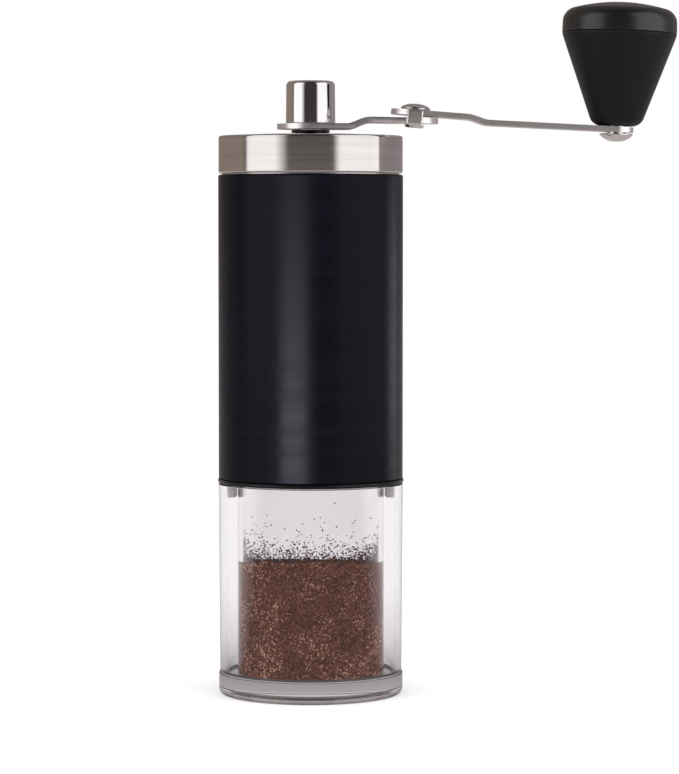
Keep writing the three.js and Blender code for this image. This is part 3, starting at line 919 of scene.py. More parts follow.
def dress(
    piece: bpy.types.Object, finish: Finish, body: str, *replaced: str
) -> bpy.types.Object:
    """Gives a finished piece its material and its body, and hides the frame's nodes that it
    stands for.

    Args:
        piece: the mesh object, at the origin.
        finish: its finish.
        body: the body that it rides on.
        *replaced: the frame's nodes that it stands for.

    Returns:
        The piece.
    """
    paint(piece, finish)
    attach(piece, body)
    if replaced:
        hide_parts(*replaced)
    log.info("%s: %d faces on %s", piece.name, len(piece.data.polygons), body)
    return piece


# ------------------------------------------------------------------ the frame's places


def extent(node: str) -> tuple[float, float, float]:
    """Height of a node's foot, height of its top, and how far it reaches along X."""
    lowest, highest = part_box(node)
    return lowest.z, highest.z, highest.x


def joint_frame(name: str) -> Matrix:
    """The place of a hinge, with Z along its axis and X in the plane of the crank.

    Args:
        name: the joint's name.

    Returns:
        The hinge's frame in the row's frame.
    """
    joint = next(j for j in frame["joints"] if j["name"] == name)
    axis = Vector(joint["axis"]).normalized()
    tilt = math.atan2(axis.x, axis.z)
    return Matrix.Translation(Vector(joint["pos_m"])) @ Matrix.Rotation(tilt, 4, "Y")


# ------------------------------------------------------------------ jar


@dataclass
class Jar:
    """The clear double jar, its base, its gasket and the ground coffee in it.

    Attributes:
        shell_wall: wall of the outer shell.
        liner_wall: wall of the inner tube.
        foot_step: how far the foot's flat is in from the base's side, and its rounding.
        foot_wall: thickness of the ring that the jar stands on.
        foot_edge: rounding of that ring's edges.
        recess: depth of the hollow inside that ring.
        draft: how much narrower the shell is at its foot.
        edge: rounding of the clear edges.
        bed_drop: how far the coffee's rim is under the top of its node.
        bed_dish: how much lower the bed's middle is than its rim.
        heap: how far the bed's lumps go up and down.
        fall: how steeply the coffee's top slopes down towards the back.
        bed_grains: number of loose grains on the bed.
        wall_grains: number of loose grains on the wall.
        thinning: height in which the grains on the wall thin out.
        highest_grain: height over the bed that no grain passes.
        seed: seed of the coffee's random places.
    """

    shell_wall: float = 1.8 * MM
    liner_wall: float = 1.3 * MM
    foot_step: float = 0.8 * MM
    foot_wall: float = 2.6 * MM
    foot_edge: float = 0.3 * MM
    recess: float = 2.0 * MM
    draft: float = 0.35 * MM
    edge: float = 0.25 * MM
    bed_drop: float = 0.3 * MM
    bed_dish: float = 0.5 * MM
    heap: float = 1.6 * MM
    fall: float = 0.09
    bed_grains: int = 1400
    wall_grains: int = 2600
    thinning: float = 1.9 * MM
    highest_grain: float = 18 * MM
    seed: int = 7

    def build(self) -> None:
        """Makes all the jar's pieces."""
        self.outer()
        self.liner()
        self.coffee()
        self.stray_grains()
        self.gasket()

    def outer(self) -> None:
        """The outer jar: the thick disc that it stands on and the drafted shell, in one piece."""
        bottom, floor, foot = extent("jar_base")
        _, top, rim = extent("jar_shell")
        hollow, ring = bottom + self.recess, foot - self.foot_wall
        waist = rim - self.draft
        inside = waist - self.shell_wall
        corners = [
            Corner(0, hollow),
            Corner(ring, hollow, self.foot_edge, 3),
            Corner(ring, bottom, self.foot_edge, 3),
            Corner(foot - self.foot_step, bottom, self.foot_edge, 3),
            Corner(foot, bottom + self.foot_step, self.foot_step, 4),
            Corner(foot, floor, 0.15 * MM, 2),
            Corner(waist, floor),
            Corner(rim, top, self.edge, 3),
            Corner(rim - self.shell_wall, top, self.edge, 3),
            Corner(inside, floor + 0.2 * MM, 0.6 * MM, 3),
            Corner(inside - 1.0 * MM, floor),
            Corner(0, floor),
        ]
        dress(turned("jar_outer", corners), ACRYLIC, "jar", "jar_base", "jar_shell")

    def liner(self) -> None:
        """The inner tube that holds the coffee, with a neck that goes up into the collar."""
        bottom, top, outer = extent("jar_liner")
        corners = tube_corners(outer - self.liner_wall, outer, bottom, top, self.edge)
        dress(turned("jar_inner_tube", corners), ACRYLIC, "jar", "jar_liner")

    def bore(self) -> float:
        """Radius of the hollow that holds the coffee."""
        return extent("jar_liner")[2] - self.liner_wall

    def coffee(self) -> None:
        """The bed of ground coffee, with an uneven top."""
        bottom, top, _ = extent("ground_coffee")
        radius = self.bore() + 0.04 * MM
        rim = top - self.bed_drop
        steps = 46
        wall = [
            Corner(radius, bottom + (rim - bottom) * step / steps) for step in range(steps + 1)
        ]
        rings = [
            Corner(radius * share, rim - self.bed_dish * (1 - share))
            for share in (0.93, 0.85, 0.76, 0.66, 0.55, 0.44, 0.32, 0.2, 0.08)
        ]
        corners = [Corner(0, bottom), *wall, *rings, Corner(0, rim)]
        piece = turned("coffee_bed", corners, 180)
        for vertex in piece.data.vertices:
            share = (vertex.co.z - bottom) / (rim - bottom)
            vertex.co.z -= share * self.fall * (vertex.co.y + radius)
        grains = bpy.data.textures.new("coffee_lumps", "VORONOI")
        grains.noise_scale = 0.9 * MM
        apply_modifier(piece, "DISPLACE", texture=grains, strength=0.2 * MM, mid_level=0.0)
        lumps = bpy.data.textures.new("coffee_heap", "CLOUDS")
        lumps.noise_scale = 4 * MM
        apply_modifier(
            piece,
            "DISPLACE",
            texture=lumps,
            strength=self.heap,
            mid_level=0.5,
            direction="Z",
            vertex_group=self.top_group(piece, rim, 0.6 * MM),
        )
        smooth(piece, 60)
        dress(piece, GROUNDS, "jar", "ground_coffee")

    def top_group(self, piece: bpy.types.Object, rim: float, depth: float) -> str:
        """Weights the vertices near the top of the bed.

        Args:
            piece: the coffee bed.
            rim: the height of the bed's rim at the front.
            depth: how far under the sloping top a vertex still counts.

        Returns:
            The name of the vertex group.
        """
        group = piece.vertex_groups.new(name="heap")
        radius = self.bore()
        chosen = [
            vertex.index
            for vertex in piece.data.vertices
            if vertex.co.z > rim - depth - self.fall * (vertex.co.y + radius)
        ]
        group.add(chosen, 1.0, "REPLACE")
        return group.name

    def grain_places(self) -> list[tuple[Vector, float]]:
        """Places and sizes of loose grains: thick on the bed's top, thin on the wall above.

        Returns:
            Pairs of a place and a size.
        """
        dice = random.Random(self.seed)
        wall = self.bore() - 0.18 * MM
        bed = extent("ground_coffee")[1] - self.bed_drop
        places = []

        def scatter(angle: float, out: float, up: float, size: float) -> None:
            """Keeps one grain, lowered with the slope of the bed."""
            place = Vector((out * math.cos(angle), out * math.sin(angle), up))
            place.z -= self.fall * (place.y + wall)
            places.append((place, size))

        for _ in range(self.bed_grains):
            angle = dice.uniform(0, math.tau)
            out = wall * math.sqrt(dice.uniform(0.25, 1.0))
            up = bed + dice.uniform(-0.7, 0.5) * MM
            scatter(angle, out, up, dice.uniform(0.16, 0.36) * MM)
        for _ in range(self.wall_grains):
            angle = dice.uniform(0, math.tau)
            up = bed + min(dice.expovariate(1 / self.thinning), self.highest_grain) - 0.6 * MM
            size = dice.uniform(0.15, 0.38) * MM
            scatter(angle, wall - 0.2 * size, up, size)
        return places

    def stray_grains(self) -> None:
        """Loose grains on the bed and stuck to the wall, copies of one small chip."""
        dice = random.Random(self.seed + 1)
        deselect_all()
        bpy.ops.mesh.primitive_ico_sphere_add(subdivisions=1, radius=1.0)
        chip = fresh("loose_grains")
        bpy.ops.object.mode_set(mode="EDIT")
        bpy.ops.mesh.select_all(action="SELECT")
        bpy.ops.transform.resize(value=(1.0, 0.75, 0.6), center_override=(0, 0, 0))
        bpy.ops.mesh.vertices_smooth(factor=0.2)
        bpy.ops.object.mode_set(mode="OBJECT")
        model, crowd = bmesh.new(), bmesh.new()
        model.from_mesh(chip.data)
        for place, size in self.grain_places():
            turn = Matrix.Rotation(dice.uniform(0, math.tau), 4, "X")
            turn @= Matrix.Rotation(dice.uniform(0, math.tau), 4, "Z")
            length, depth = size * dice.uniform(0.7, 1.3), size * dice.uniform(0.6, 1.0)
            stretch = Matrix.Diagonal((length, size, depth, 1))
            copy = model.copy()
            copy.transform(Matrix.Translation(place) @ turn @ stretch)
            scratch = bpy.data.meshes.new("scratch")
            copy.to_mesh(scratch)
            crowd.from_mesh(scratch)
            bpy.data.meshes.remove(scratch)
            copy.free()
        crowd.to_mesh(chip.data)
        crowd.free()
        model.free()
        dress(chip, DARK_GROUNDS, "jar")

    def gasket(self) -> None:
        """The flat ring that the inner tube closes against."""
        bottom, top, outer = extent("jar_gasket")
        inner = outer - self.liner_wall + 0.1 * MM
        piece = turned("jar_seal_ring", tube_corners(inner, outer, bottom, top, 0.3 * MM), MEDIUM)
        dress(piece, SILICONE, "gasket", "jar_gasket")


# ------------------------------------------------------------------ barrel


@dataclass
class Barrel:
    """The casing: the coated sleeve, the steel tube inside it, and the collar under it.

    Attributes:
        sleeve_wall: wall of the sleeve.
        sleeve_round: rounding of the sleeve's upper edge.
        tube_wall: wall of the steel tube.
        lip_height: height of the collar's lip.
        lip_round: rounding of the lip.
        throat_step: how much narrower the collar's throat is than the gasket.
        ledge_depth: depth of the ledge that the gasket lies under.
        jar_gap: room between the jar's inner tube and the collar.
        lug_drop: how far the lugs reach down from the lip.
        lug_width: width of the lugs.
        lug_depth: how deep the lugs are towards the axis.
        lug_gap: hair's breadth between the lugs and the lip, which are separate meshes.
    """

    sleeve_wall: float = 0.85 * MM
    sleeve_round: float = 0.55 * MM
    tube_wall: float = 0.8 * MM
    lip_height: float = 1.1 * MM
    lip_round: float = 0.35 * MM
    throat_step: float = 1.1 * MM
    ledge_depth: float = 1.5 * MM
    jar_gap: float = 0.35 * MM
    lug_drop: float = 3.9 * MM
    lug_width: float = 5 * MM
    lug_depth: float = 2.3 * MM
    lug_gap: float = 0.02 * MM

    def build(self) -> bpy.types.Object:
        """Makes all the casing's pieces.

        Returns:
            The sleeve, which has lights of its own.
        """
        sleeve = self.sleeve()
        self.tube()
        self.collar()
        return sleeve

    def sleeve(self) -> bpy.types.Object:
        """The coated outer sleeve.

        Returns:
            The sleeve.
        """
        bottom, top, radius = extent("outer_sleeve")
        corners = [
            Corner(radius - self.sleeve_wall, bottom),
            Corner(radius, bottom, 0.2 * MM, 3),
            Corner(radius, top, self.sleeve_round, 5),
            Corner(radius - self.sleeve_wall, top, 0.2 * MM, 2),
        ]
        piece = turned("coated_sleeve", corners, FINEST)
        return dress(piece, SLEEVE_COAT, "barrel", "outer_sleeve")

    def tube(self) -> None:
        """The steel tube that holds the beans, with a rolled rim."""
        bottom, top, outer = extent("inner_barrel")
        corners = tube_corners(outer - self.tube_wall, outer, bottom, top, 0.25 * MM)
        dress(turned("bean_tube", corners), TUBE_STEEL, "barrel", "inner_barrel")

    def collar(self) -> None:
        """The black collar: a glossy lip under the sleeve, and a socket for the jar above it."""
        bottom, top, lip = extent("barrel_collar")
        lip_foot = bottom + self.lug_drop
        lip_top = lip_foot + self.lip_height
        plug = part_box("burr_housing")[1].y
        bore = extent("jar_liner")[2] + self.jar_gap
        throat = extent("jar_gasket")[2] - self.throat_step
        ledge = top - self.ledge_depth
        corners = [
            Corner(bore, lip_foot, 0.2 * MM, 2),
            Corner(lip, lip_foot, self.lip_round, 4),
            Corner(lip, lip_top, self.lip_round, 4),
            Corner(plug, lip_top),
            Corner(plug, top, 0.3 * MM, 2),
            Corner(throat, top),
            Corner(throat, ledge),
            Corner(bore, ledge),
        ]
        dress(turned("collar", corners), COLLAR_BLACK, "barrel", "barrel_collar")
        self.lugs(bore + 0.1 * MM, bottom, lip_foot - self.lug_gap)

    def lugs(self, near: float, bottom: float, top: float) -> None:
        """The two lugs that reach down into the jar's gap, painted pale grey to stand in for the
        light that reaches them through the jar.

        Args:
            near: how far from the axis they begin.
            bottom: height of their feet.
            top: height of their tops.
        """
        half = self.lug_width / 2
        far = near + self.lug_depth
        pair = [
            boxed("lug", (left, -half, bottom), (right, half, top), 0.3 * MM)
            for left, right in ((-far, -near), (near, far))
        ]
        piece = merged(*pair)
        piece.name = "collar_lugs"
        dress(piece, LUGS_PAINTED_LIT, "barrel")


# ------------------------------------------------------------------ lid


@dataclass
class Lid:
    """The brushed steel lid, with the black bush that the shaft runs in.

    Attributes:
        wall: the lid's thickness at its side.
        plate: its thickness across the top.
        top_round: rounding of the top edge.
        dome_rise: how much higher the middle is than the edge.
        hole: radius of the hole for the bush.
        bush_bore: radius of the bush's bore.
        bush_neck: radius of the bush where it goes through the lid.
        bush_flange: radius of its flange above the lid.
        seal_bore: inner radius of the seal.
    """

    wall: float = 0.8 * MM
    plate: float = 0.9 * MM
    top_round: float = 0.55 * MM
    dome_rise: float = 0.6 * MM
    hole: float = 4.3 * MM
    bush_bore: float = 3.35 * MM
    bush_neck: float = 4.05 * MM
    bush_flange: float = 5 * MM
    seal_bore: float = 19.5 * MM

    def build(self) -> None:
        """Makes the lid's pieces."""
        self.cup()
        self.bush()
        self.seal()

    def cup(self) -> None:
        """The lid itself: a shallow cup whose top is a low dome with a hole."""
        bottom, top, radius = extent("lid")
        edge = top - self.dome_rise
        outside = dome(radius - self.plate, edge, self.dome_rise, 6)[1:5]
        corners = [
            Corner(radius - self.wall, bottom),
            Corner(radius - 0.3 * MM, bottom),
            Corner(radius, bottom + 0.35 * MM, 0.1 * MM, 2),
            Corner(radius, edge, self.top_round, 6),
            *outside,
            Corner(self.hole, top, 0.2 * MM, 2),
            Corner(self.hole, top - self.plate),
            *[Corner(above.radius, above.height - self.plate) for above in reversed(outside)],
            Corner(radius - self.wall, edge - self.plate, 0.3 * MM, 2),
        ]
        dress(turned("lid_cup", corners, FINEST), LID_STEEL, "lid", "lid")

    def bush(self) -> None:
        """The black bush, whose flange shows between the lid and the crank."""
        bottom, top, wide = extent("lid_bush")
        under = bottom + 1.8 * MM
        over = extent("lid")[1] + 0.25 * MM
        corners = [
            Corner(self.bush_bore, bottom, 0.2 * MM, 2),
            Corner(wide, bottom, 0.3 * MM, 2),
            Corner(wide, under, 0.3 * MM, 2),
            Corner(self.bush_neck, under),
            Corner(self.bush_neck, over),
            Corner(self.bush_flange, over, 0.15 * MM, 2),
            Corner(self.bush_flange, top, 0.2 * MM, 3),
            Corner(self.bush_bore, top, 0.2 * MM, 2),
        ]
        dress(turned("lid_guide", corners, MEDIUM), COLLAR_BLACK, "lid", "lid_bush")

    def seal(self) -> None:
        """The flat ring between the lid and the steel tube's rim."""
        bottom, top, outer = extent("lid_seal")
        corners = tube_corners(self.seal_bore, outer, bottom, top, 0.15 * MM)
        dress(turned("lid_seal_ring", corners, MEDIUM), SILICONE, "lid", "lid_seal")


# ------------------------------------------------------------------ crank


@dataclass(frozen=True)
class Bend:
    """How a strap's underside runs: a step with soft ends, and then a straight slope.

    Attributes:
        rise: how far the step goes up, or down where negative.
        step_at: where the step begins.
        step_length: how long it is.
        slope_from: where the slope begins.
        slope: how steeply it goes up, or down where negative.
    """

    rise: float
    step_at: float
    step_length: float
    slope_from: float
    slope: float

    def height(self, x: float) -> float:
        """Height of the underside over its start."""
        share = min(1.0, max(0.0, (x - self.step_at) / self.step_length))
        eased = share * share * (3 - 2 * share)
        return self.rise * eased + self.slope * max(0.0, x - self.slope_from)


@dataclass
class Strap:
    """A flat steel strap with round ends, bent up or down along its length.

    Attributes:
        name: the piece's name.
        start: radius of the round end at x = 0.
        reach: distance between the centres of the round ends.
        end: radius of the other round end.
        thickness: the strap's thickness.
        bend: how its underside runs.
        base: height of the underside at its start.
        columns: how many slices it is shaped in.
        arc: how many of them lie round each end.
    """

    name: str
    start: float
    reach: float
    end: float
    thickness: float
    bend: Bend
    base: float = 0.0
    columns: int = 110
    arc: int = 16

    def half_width(self, x: float) -> float:
        """Half the width of the strap at a place along it."""
        lean = math.asin((self.start - self.end) / self.reach)
        from_x = self.start * math.sin(lean)
        to_x = self.reach + self.end * math.sin(lean)
        if x < from_x:
            return math.sqrt(max(0.0, self.start**2 - x**2))
        if x > to_x:
            return math.sqrt(max(0.0, self.end**2 - (x - self.reach) ** 2))
        share = (x - from_x) / (to_x - from_x)
        return (self.start + (self.end - self.start) * share) * math.cos(lean)

    def stations(self) -> list[float]:
        """Places along the strap, closer together round its ends."""
        least = math.radians(2.5)
        turns = [least + (math.pi / 2 - least) * i / self.arc for i in range(self.arc)]
        first = [-self.start * math.cos(turn) for turn in turns]
        last = [self.reach + self.end * math.cos(turn) for turn in reversed(turns)]
        straight = self.columns - 2 * self.arc
        middle = [self.reach * i / straight for i in range(straight + 1)]
        return first + middle + last

    def build(self) -> bpy.types.Object:
        """Shapes a grid slice by slice, then gives it its thickness and its rubbed edges.

        Returns:
            The mesh object, in the strap's own frame.
        """
        stations = self.stations()
        slices = len(stations) - 1
        deselect_all()
        bpy.ops.mesh.primitive_grid_add(x_subdivisions=slices, y_subdivisions=10, size=2)
        piece = fresh(self.name)
        bpy.ops.object.mode_set(mode="EDIT")
        for column, x in enumerate(stations):
            self.shape_column(piece, -1 + 2 / slices * column, x)
        bpy.ops.mesh.select_all(action="SELECT")
        bpy.ops.transform.translate(value=(-PARKED, 0, 0))
        bpy.ops.object.mode_set(mode="OBJECT")
        apply_modifier(piece, "SOLIDIFY", thickness=self.thickness, offset=1)
        face_outwards(piece)
        bevel = {"width": 0.2 * MM, "segments": 3, "angle_limit": math.radians(50)}
        apply_modifier(piece, "BEVEL", limit_method="ANGLE", **bevel)
        smooth(piece, 40)
        return piece

    def shape_column(self, piece: bpy.types.Object, here: float, x: float) -> None:
        """Brings one column of the grid to its width, place and height.

        Args:
            piece: the grid, in edit mode.
            here: where the column is now.
            x: where it belongs along the strap.
        """
        pick(piece, "VERT", lambda co: abs(co.x - here) < 100 * NEAR)
        width = self.half_width(x)
        rise = self.base + self.bend.height(x)
        bpy.ops.transform.resize(value=(1, width, 1), center_override=(0, 0, 0))
        bpy.ops.transform.translate(value=(PARKED + x - here, 0, rise))


@dataclass
class Crank:
    """The folding crank: the socket cap, the two halves of the arm, and the rivet between them.

    Attributes:
        eye: radius of the inner arm's end round the shaft.
        fold_eye: radius of the ends at the rivet.
        tip: radius of the outer arm's end under the knob.
        strap: thickness of the arm.
        inner_bend: how the inner arm's underside runs.
        outer_bend: how the outer arm's underside runs.
        socket: radius of the hexagonal socket's corners.
        cap_round: rounding of the cap's top edge.
        cap_rise: how much higher the cap's middle is than its edge.
        rivet_hole: radius of the inner arm's hole for the rivet.
        arm_hole: radius of the outer arm's hole for it.
        post_hole: radius of the outer arm's hole for the knob's post.
        ear_thickness: thickness of the stop ear.
    """

    eye: float = 8.7 * MM
    fold_eye: float = 6.3 * MM
    tip: float = 4.45 * MM
    strap: float = 1.4 * MM
    inner_bend: Bend = Bend(1.7 * MM, 9.5 * MM, 6 * MM, 15.5 * MM, -0.019)
    outer_bend: Bend = Bend(-1.12 * MM, 13.3 * MM, 5.8 * MM, 19 * MM, 0.0265)
    socket: float = 3.35 * MM
    cap_round: float = 1.15 * MM
    cap_rise: float = 0.15 * MM
    rivet_hole: float = 2.25 * MM
    arm_hole: float = 2.15 * MM
    post_hole: float = 2.65 * MM
    ear_thickness: float = 1.3 * MM

    def build(self) -> None:
        """Makes the crank's pieces."""
        self.cap()
        self.inner_arm()
        self.outer_arm()
        self.rivet()

    def cap(self) -> None:
        """The chrome cap that drops over the shaft's end, with its hexagonal socket."""
        bottom, top, radius = extent("socket_cap")
        crown = dome(radius - self.cap_round, top - self.cap_rise, self.cap_rise, 5)
        corners = [
            Corner(0, bottom),
            Corner(radius, bottom, 0.2 * MM, 3),
            Corner(radius - 0.1 * MM, top - 0.2 * MM, self.cap_round, 7),
            *crown[1:],
            Corner(0, top),
        ]
        piece = turned("drive_cap", corners, 96)
        roof = extent("drive_shaft")[1] + 0.4 * MM
        merged(piece, rod(self.socket, bottom - 1 * MM, roof, facets=6), how="DIFFERENCE")
        smooth(piece)
        dress(piece, CHROME, "crank", "socket_cap")

    def inner_arm(self) -> None:
        """The half of the arm that the cap carries, with its step up to the rivet."""
        bottom = extent("inner_arm")[0]
        reach = joint_frame("arm_fold").translation.x - 0.1 * MM
        end = self.fold_eye - 0.2 * MM
        sizes = (self.eye, reach, end, self.strap, self.inner_bend, bottom)
        piece = Strap("arm_inner_half", *sizes).build()
        hexagon = rod(self.socket, bottom - 1 * MM, bottom + 3 * MM, facets=6)
        merged(piece, hexagon, how="DIFFERENCE")
        hole = rod(self.rivet_hole, bottom, bottom + 6 * MM, reach)
        merged(piece, hole, how="DIFFERENCE")
        smooth(piece, 40)
        dress(piece, STRAP_STEEL, "crank", "inner_arm")

    def outer_arm(self) -> None:
        """The half of the arm that carries the knob, with the stop ear at the fold."""
        fold = joint_frame("arm_fold")
        post = (fold.inverted() @ joint_frame("knob_spin").translation).x
        sizes = (self.fold_eye, post, self.tip, self.strap, self.outer_bend)
        piece = Strap("arm_outer_half", *sizes).build()
        for radius, x in ((self.arm_hole, 0.0), (self.post_hole, post)):
            merged(piece, rod(radius, -5 * MM, 5 * MM, x), how="DIFFERENCE")
        merged(piece, self.ear())
        smooth(piece, 40)
        settle(piece, fold)
        dress(piece, STRAP_STEEL, "arm", "outer_arm")

    def ear(self) -> bpy.types.Object:
        """The stop ear, bent down from the strap's side.

        Returns:
            The ear, in the rivet's frame, closed and ready to be fused to the strap.
        """
        inner = -(self.fold_eye + 0.45 * MM)
        outer = inner - self.ear_thickness
        top = self.strap - 0.1 * MM
        flap_low, flap_high = (-2.2 * MM, outer, -2.6 * MM), (1.9 * MM, inner, top)
        web_low = (-2.1 * MM, outer + 0.15 * MM, 0.05 * MM)
        web_high = (1.8 * MM, 3 * MM - self.fold_eye, top - 0.03 * MM)
        flap = boxed("ear", flap_low, flap_high, 0.4 * MM)
        return merged(flap, boxed("web", web_low, web_high, 0.25 * MM))

    def rivet(self) -> None:
        """The rivet: a domed head above, a shank, and a peened end below."""
        tail = in_mm(-2.4 * MM, (0, -0.7), (2.3, -0.7, 0.15, 2), (2.65, 0, 0.1, 2), (1.9, 0))
        rim = ((1.9, 0), (3.55, 0, 0.1, 2), (3.93, 0.4, 0.15, 3), (3.3, 0.98, 0.3, 3))
        crown = ((2.3, 1.38, 0.3, 3), (1.1, 1.6, 0.2, 2), (0, 1.65))
        head = in_mm(self.strap + 0.1 * MM, *rim, *crown)
        piece = turned("fold_rivet", tail + head, MEDIUM)
        settle(piece, joint_frame("arm_fold"))
        dress(piece, CHROME, "arm", "hinge_rivet")


# ------------------------------------------------------------------ knob


@dataclass
class Knob:
    """The knob and the post that it turns on, from the middle of the strap's end upwards.

    Attributes:
        radius: the knob's widest radius.
        top: height of its top.
        seam: height of the seam between its body and its cap.
        foot: height of its foot.
        waist: radius that its cone would have at the foot.
        bore: radius of the hole for the post.
        cavity: radius of the hollow for the post's nut.
        cavity_floor: height of that hollow's floor.
        plug: radius of the cap's plug, which presses into the hollow.
        plug_depth: how far the plug goes in.
        shoulder: radius where the cap's top begins to round off.
        crown: radius of the sphere that its top is part of.
        crown_rings: how many corners the top has.
        shank_top: height of the post's top.
    """

    radius: float = 14.85 * MM
    top: float = 32.9 * MM
    seam: float = 24.8 * MM
    foot: float = 0.9 * MM
    waist: float = 6.25 * MM
    bore: float = 2.75 * MM
    cavity: float = 10 * MM
    cavity_floor: float = 16 * MM
    plug: float = 9.7 * MM
    plug_depth: float = 3 * MM
    shoulder: float = 12.2 * MM
    crown: float = 44 * MM
    crown_rings: int = 9
    shank_top: float = 18.0

    def build(self) -> None:
        """Makes the knob's pieces."""
        self.body()
        self.cap()
        self.post()

    def body(self) -> None:
        """The matt cone, hollow above to take the post's nut."""
        corners = [
            Corner(self.bore, self.foot, 0.3 * MM, 2),
            Corner(self.waist, self.foot, 2.1 * MM, 8),
            Corner(self.radius - 0.2 * MM, self.seam - 0.8 * MM, 2.2 * MM, 8),
            Corner(self.radius - 0.03 * MM, self.seam, 0.2 * MM, 3),
            Corner(self.cavity, self.seam),
            Corner(self.cavity, self.cavity_floor),
            Corner(self.bore, self.cavity_floor),
        ]
        piece = turned("knob_grip", corners)
        settle(piece, joint_frame("knob_spin"))
        dress(piece, KNOB_BLACK, "knob", "knob_body")

    def cap(self) -> None:
        """The satin cap that closes the knob, with a plug that presses into the body."""
        foot = self.seam + 0.15 * MM
        plug_foot = foot - self.plug_depth
        radii = [self.shoulder * (1 - i / self.crown_rings) for i in range(self.crown_rings)]
        corners = [
            Corner(0, plug_foot),
            Corner(self.plug, plug_foot, 0.3 * MM, 2),
            Corner(self.plug, foot),
            Corner(self.radius, foot, 0.2 * MM, 3),
            Corner(self.radius - 0.13 * MM, self.top - 2.4 * MM, 2.6 * MM, 10),
            *[Corner(radius, self.top - radius**2 / (2 * self.crown)) for radius in radii],
            Corner(0, self.top),
        ]
        piece = turned("knob_crown", corners)
        settle(piece, joint_frame("knob_spin"))
        dress(piece, KNOB_SATIN, "knob", "knob_cap")

    def post(self) -> None:
        """The post, with its domed head under the arm."""
        crown = ((0, -2.1), (1.2, -2.05, 0.2, 2), (2.4, -1.75, 0.3, 3), (3.5, -1.15, 0.3, 3))
        rim = ((4.35, -0.3, 0.15, 3), (4.2, 0, 0.1, 2), (2.4, 0))
        head = in_mm(-1.05 * MM, *crown, *rim)
        shank = in_mm(0.0, (2.4, self.shank_top, 0.4, 3), (0, self.shank_top))
        piece = turned("knob_axle", head + shank, MEDIUM)
        settle(piece, joint_frame("knob_spin"))
        dress(piece, CHROME, "arm", "knob_post")


# ------------------------------------------------------------------ mill


class Mill:
    """The pieces inside, which keep the frame's shapes and get their finishes."""

    FINISHES: dict[Finish, tuple[str, ...]] = {
        GREY_PLASTIC: ("burr_housing", "upper_bracket", "burr_core"),
        CERAMIC: ("ring_burr", "inner_burr"),
        INNER_BLACK: ("burr_retainer", "adjuster_nut"),
        BRASS: ("lower_bush", "upper_bush"),
        PLAIN_STEEL: (
            *[f"housing_screw_{number}" for number in (1, 2, 3)],
            "drive_shaft",
            "thrust_washer",
            "shaft_clip",
            "burr_spring",
            "knob_push_nut",
        ),
    }

    def build(self) -> None:
        """Finishes the pieces inside."""
        for finish, nodes in self.FINISHES.items():
            for node in nodes:
                paint(frame["nodes"][node], finish)
                log.info("%s: kept, in %s", node, finish.name)


# ------------------------------------------------------------------ studio


def undiffused(wire: Wiring, path: bpy.types.Node) -> Socket:
    """Says where a ray has only been reflected or refracted on its way from the lens.

    Args:
        wire: the wiring of a stage material or of the world.
        path: its Light Path node.

    Returns:
        A socket that is 1 for those rays and 0 for every other ray.
    """
    straight = wire.math("SUBTRACT", 1.0, diffused(wire, path))
    return wire.math("MULTIPLY", path.outputs["Is Glossy Ray"], straight)


def diffused(wire: Wiring, path: bpy.types.Node) -> Socket:
    """A socket that is 1 for a ray that a matt surface has scattered, and 0 for the others."""
    return wire.math("MINIMUM", path.outputs["Diffuse Depth"], 1.0)


@dataclass(frozen=True)
class SoftBox:
    """A tall soft box that faces the grinder.

    Attributes:
        name: the light's name.
        azimuth: degrees from the camera's side towards +X, seen from above.
        width: its width.
        height: its height.
        glow: how bright its face is.
        away: its distance from the grinder's axis.
        fade: share of its width over which it fades out, at its left edge where positive and at
            its right edge where negative.
    """

    name: str
    azimuth: float
    width: float
    height: float
    glow: float
    away: float = 0.62
    fade: float = 0.0

    def build(self) -> bpy.types.Object:
        """Sets the light up.

        Returns:
            The light.
        """
        light = bpy.data.lights.new(self.name, "AREA")
        light.shape = "RECTANGLE"
        light.size = self.width
        light.size_y = self.height
        light.energy = self.glow * math.pi * self.width * self.height
        if self.fade:
            self.fade_edge(light)
        box = bpy.data.objects.new(self.name, light)
        turn = math.radians(self.azimuth)
        up = self.height / 2 + 10 * MM
        box.location = (self.away * math.sin(turn), -self.away * math.cos(turn), up)
        box.rotation_euler = (math.radians(90), 0, turn)
        bpy.context.scene.collection.objects.link(box)
        return box

    def fade_edge(self, light: bpy.types.Light) -> None:
        """Makes the light fade out towards one edge.

        Args:
            light: the light.
        """
        light.use_nodes = True
        wire = Wiring(light.node_tree)
        face = wire.add("NewGeometry").outputs["Parametric"]
        across = wire.add("SeparateXYZ", Vector=face).outputs["X"]
        edge = 0.5 - math.copysign(0.5, self.fade)
        profile = wire.add("MapRange", Value=across, in_1=edge, in_2=edge + self.fade)
        wire.feed(light.node_tree.nodes["Emission"], Strength=profile.outputs[0])


MAIN_BOXES = (
    SoftBox("left_box", -56.0, 0.68, 0.9, 1.2, fade=-0.3),
    SoftBox("right_box", 61.0, 0.77, 0.9, 1.2, 0.6, 0.15),
)
SLEEVE_STRIPS = (
    SoftBox("sleeve_strip", -20.0, 0.34, 0.03, 90.0),
    SoftBox("sleeve_rim", 122.0, 0.2, 0.12, 3.0),
)
STRIP_BLUE = (0.84, 0.85, 1.0)


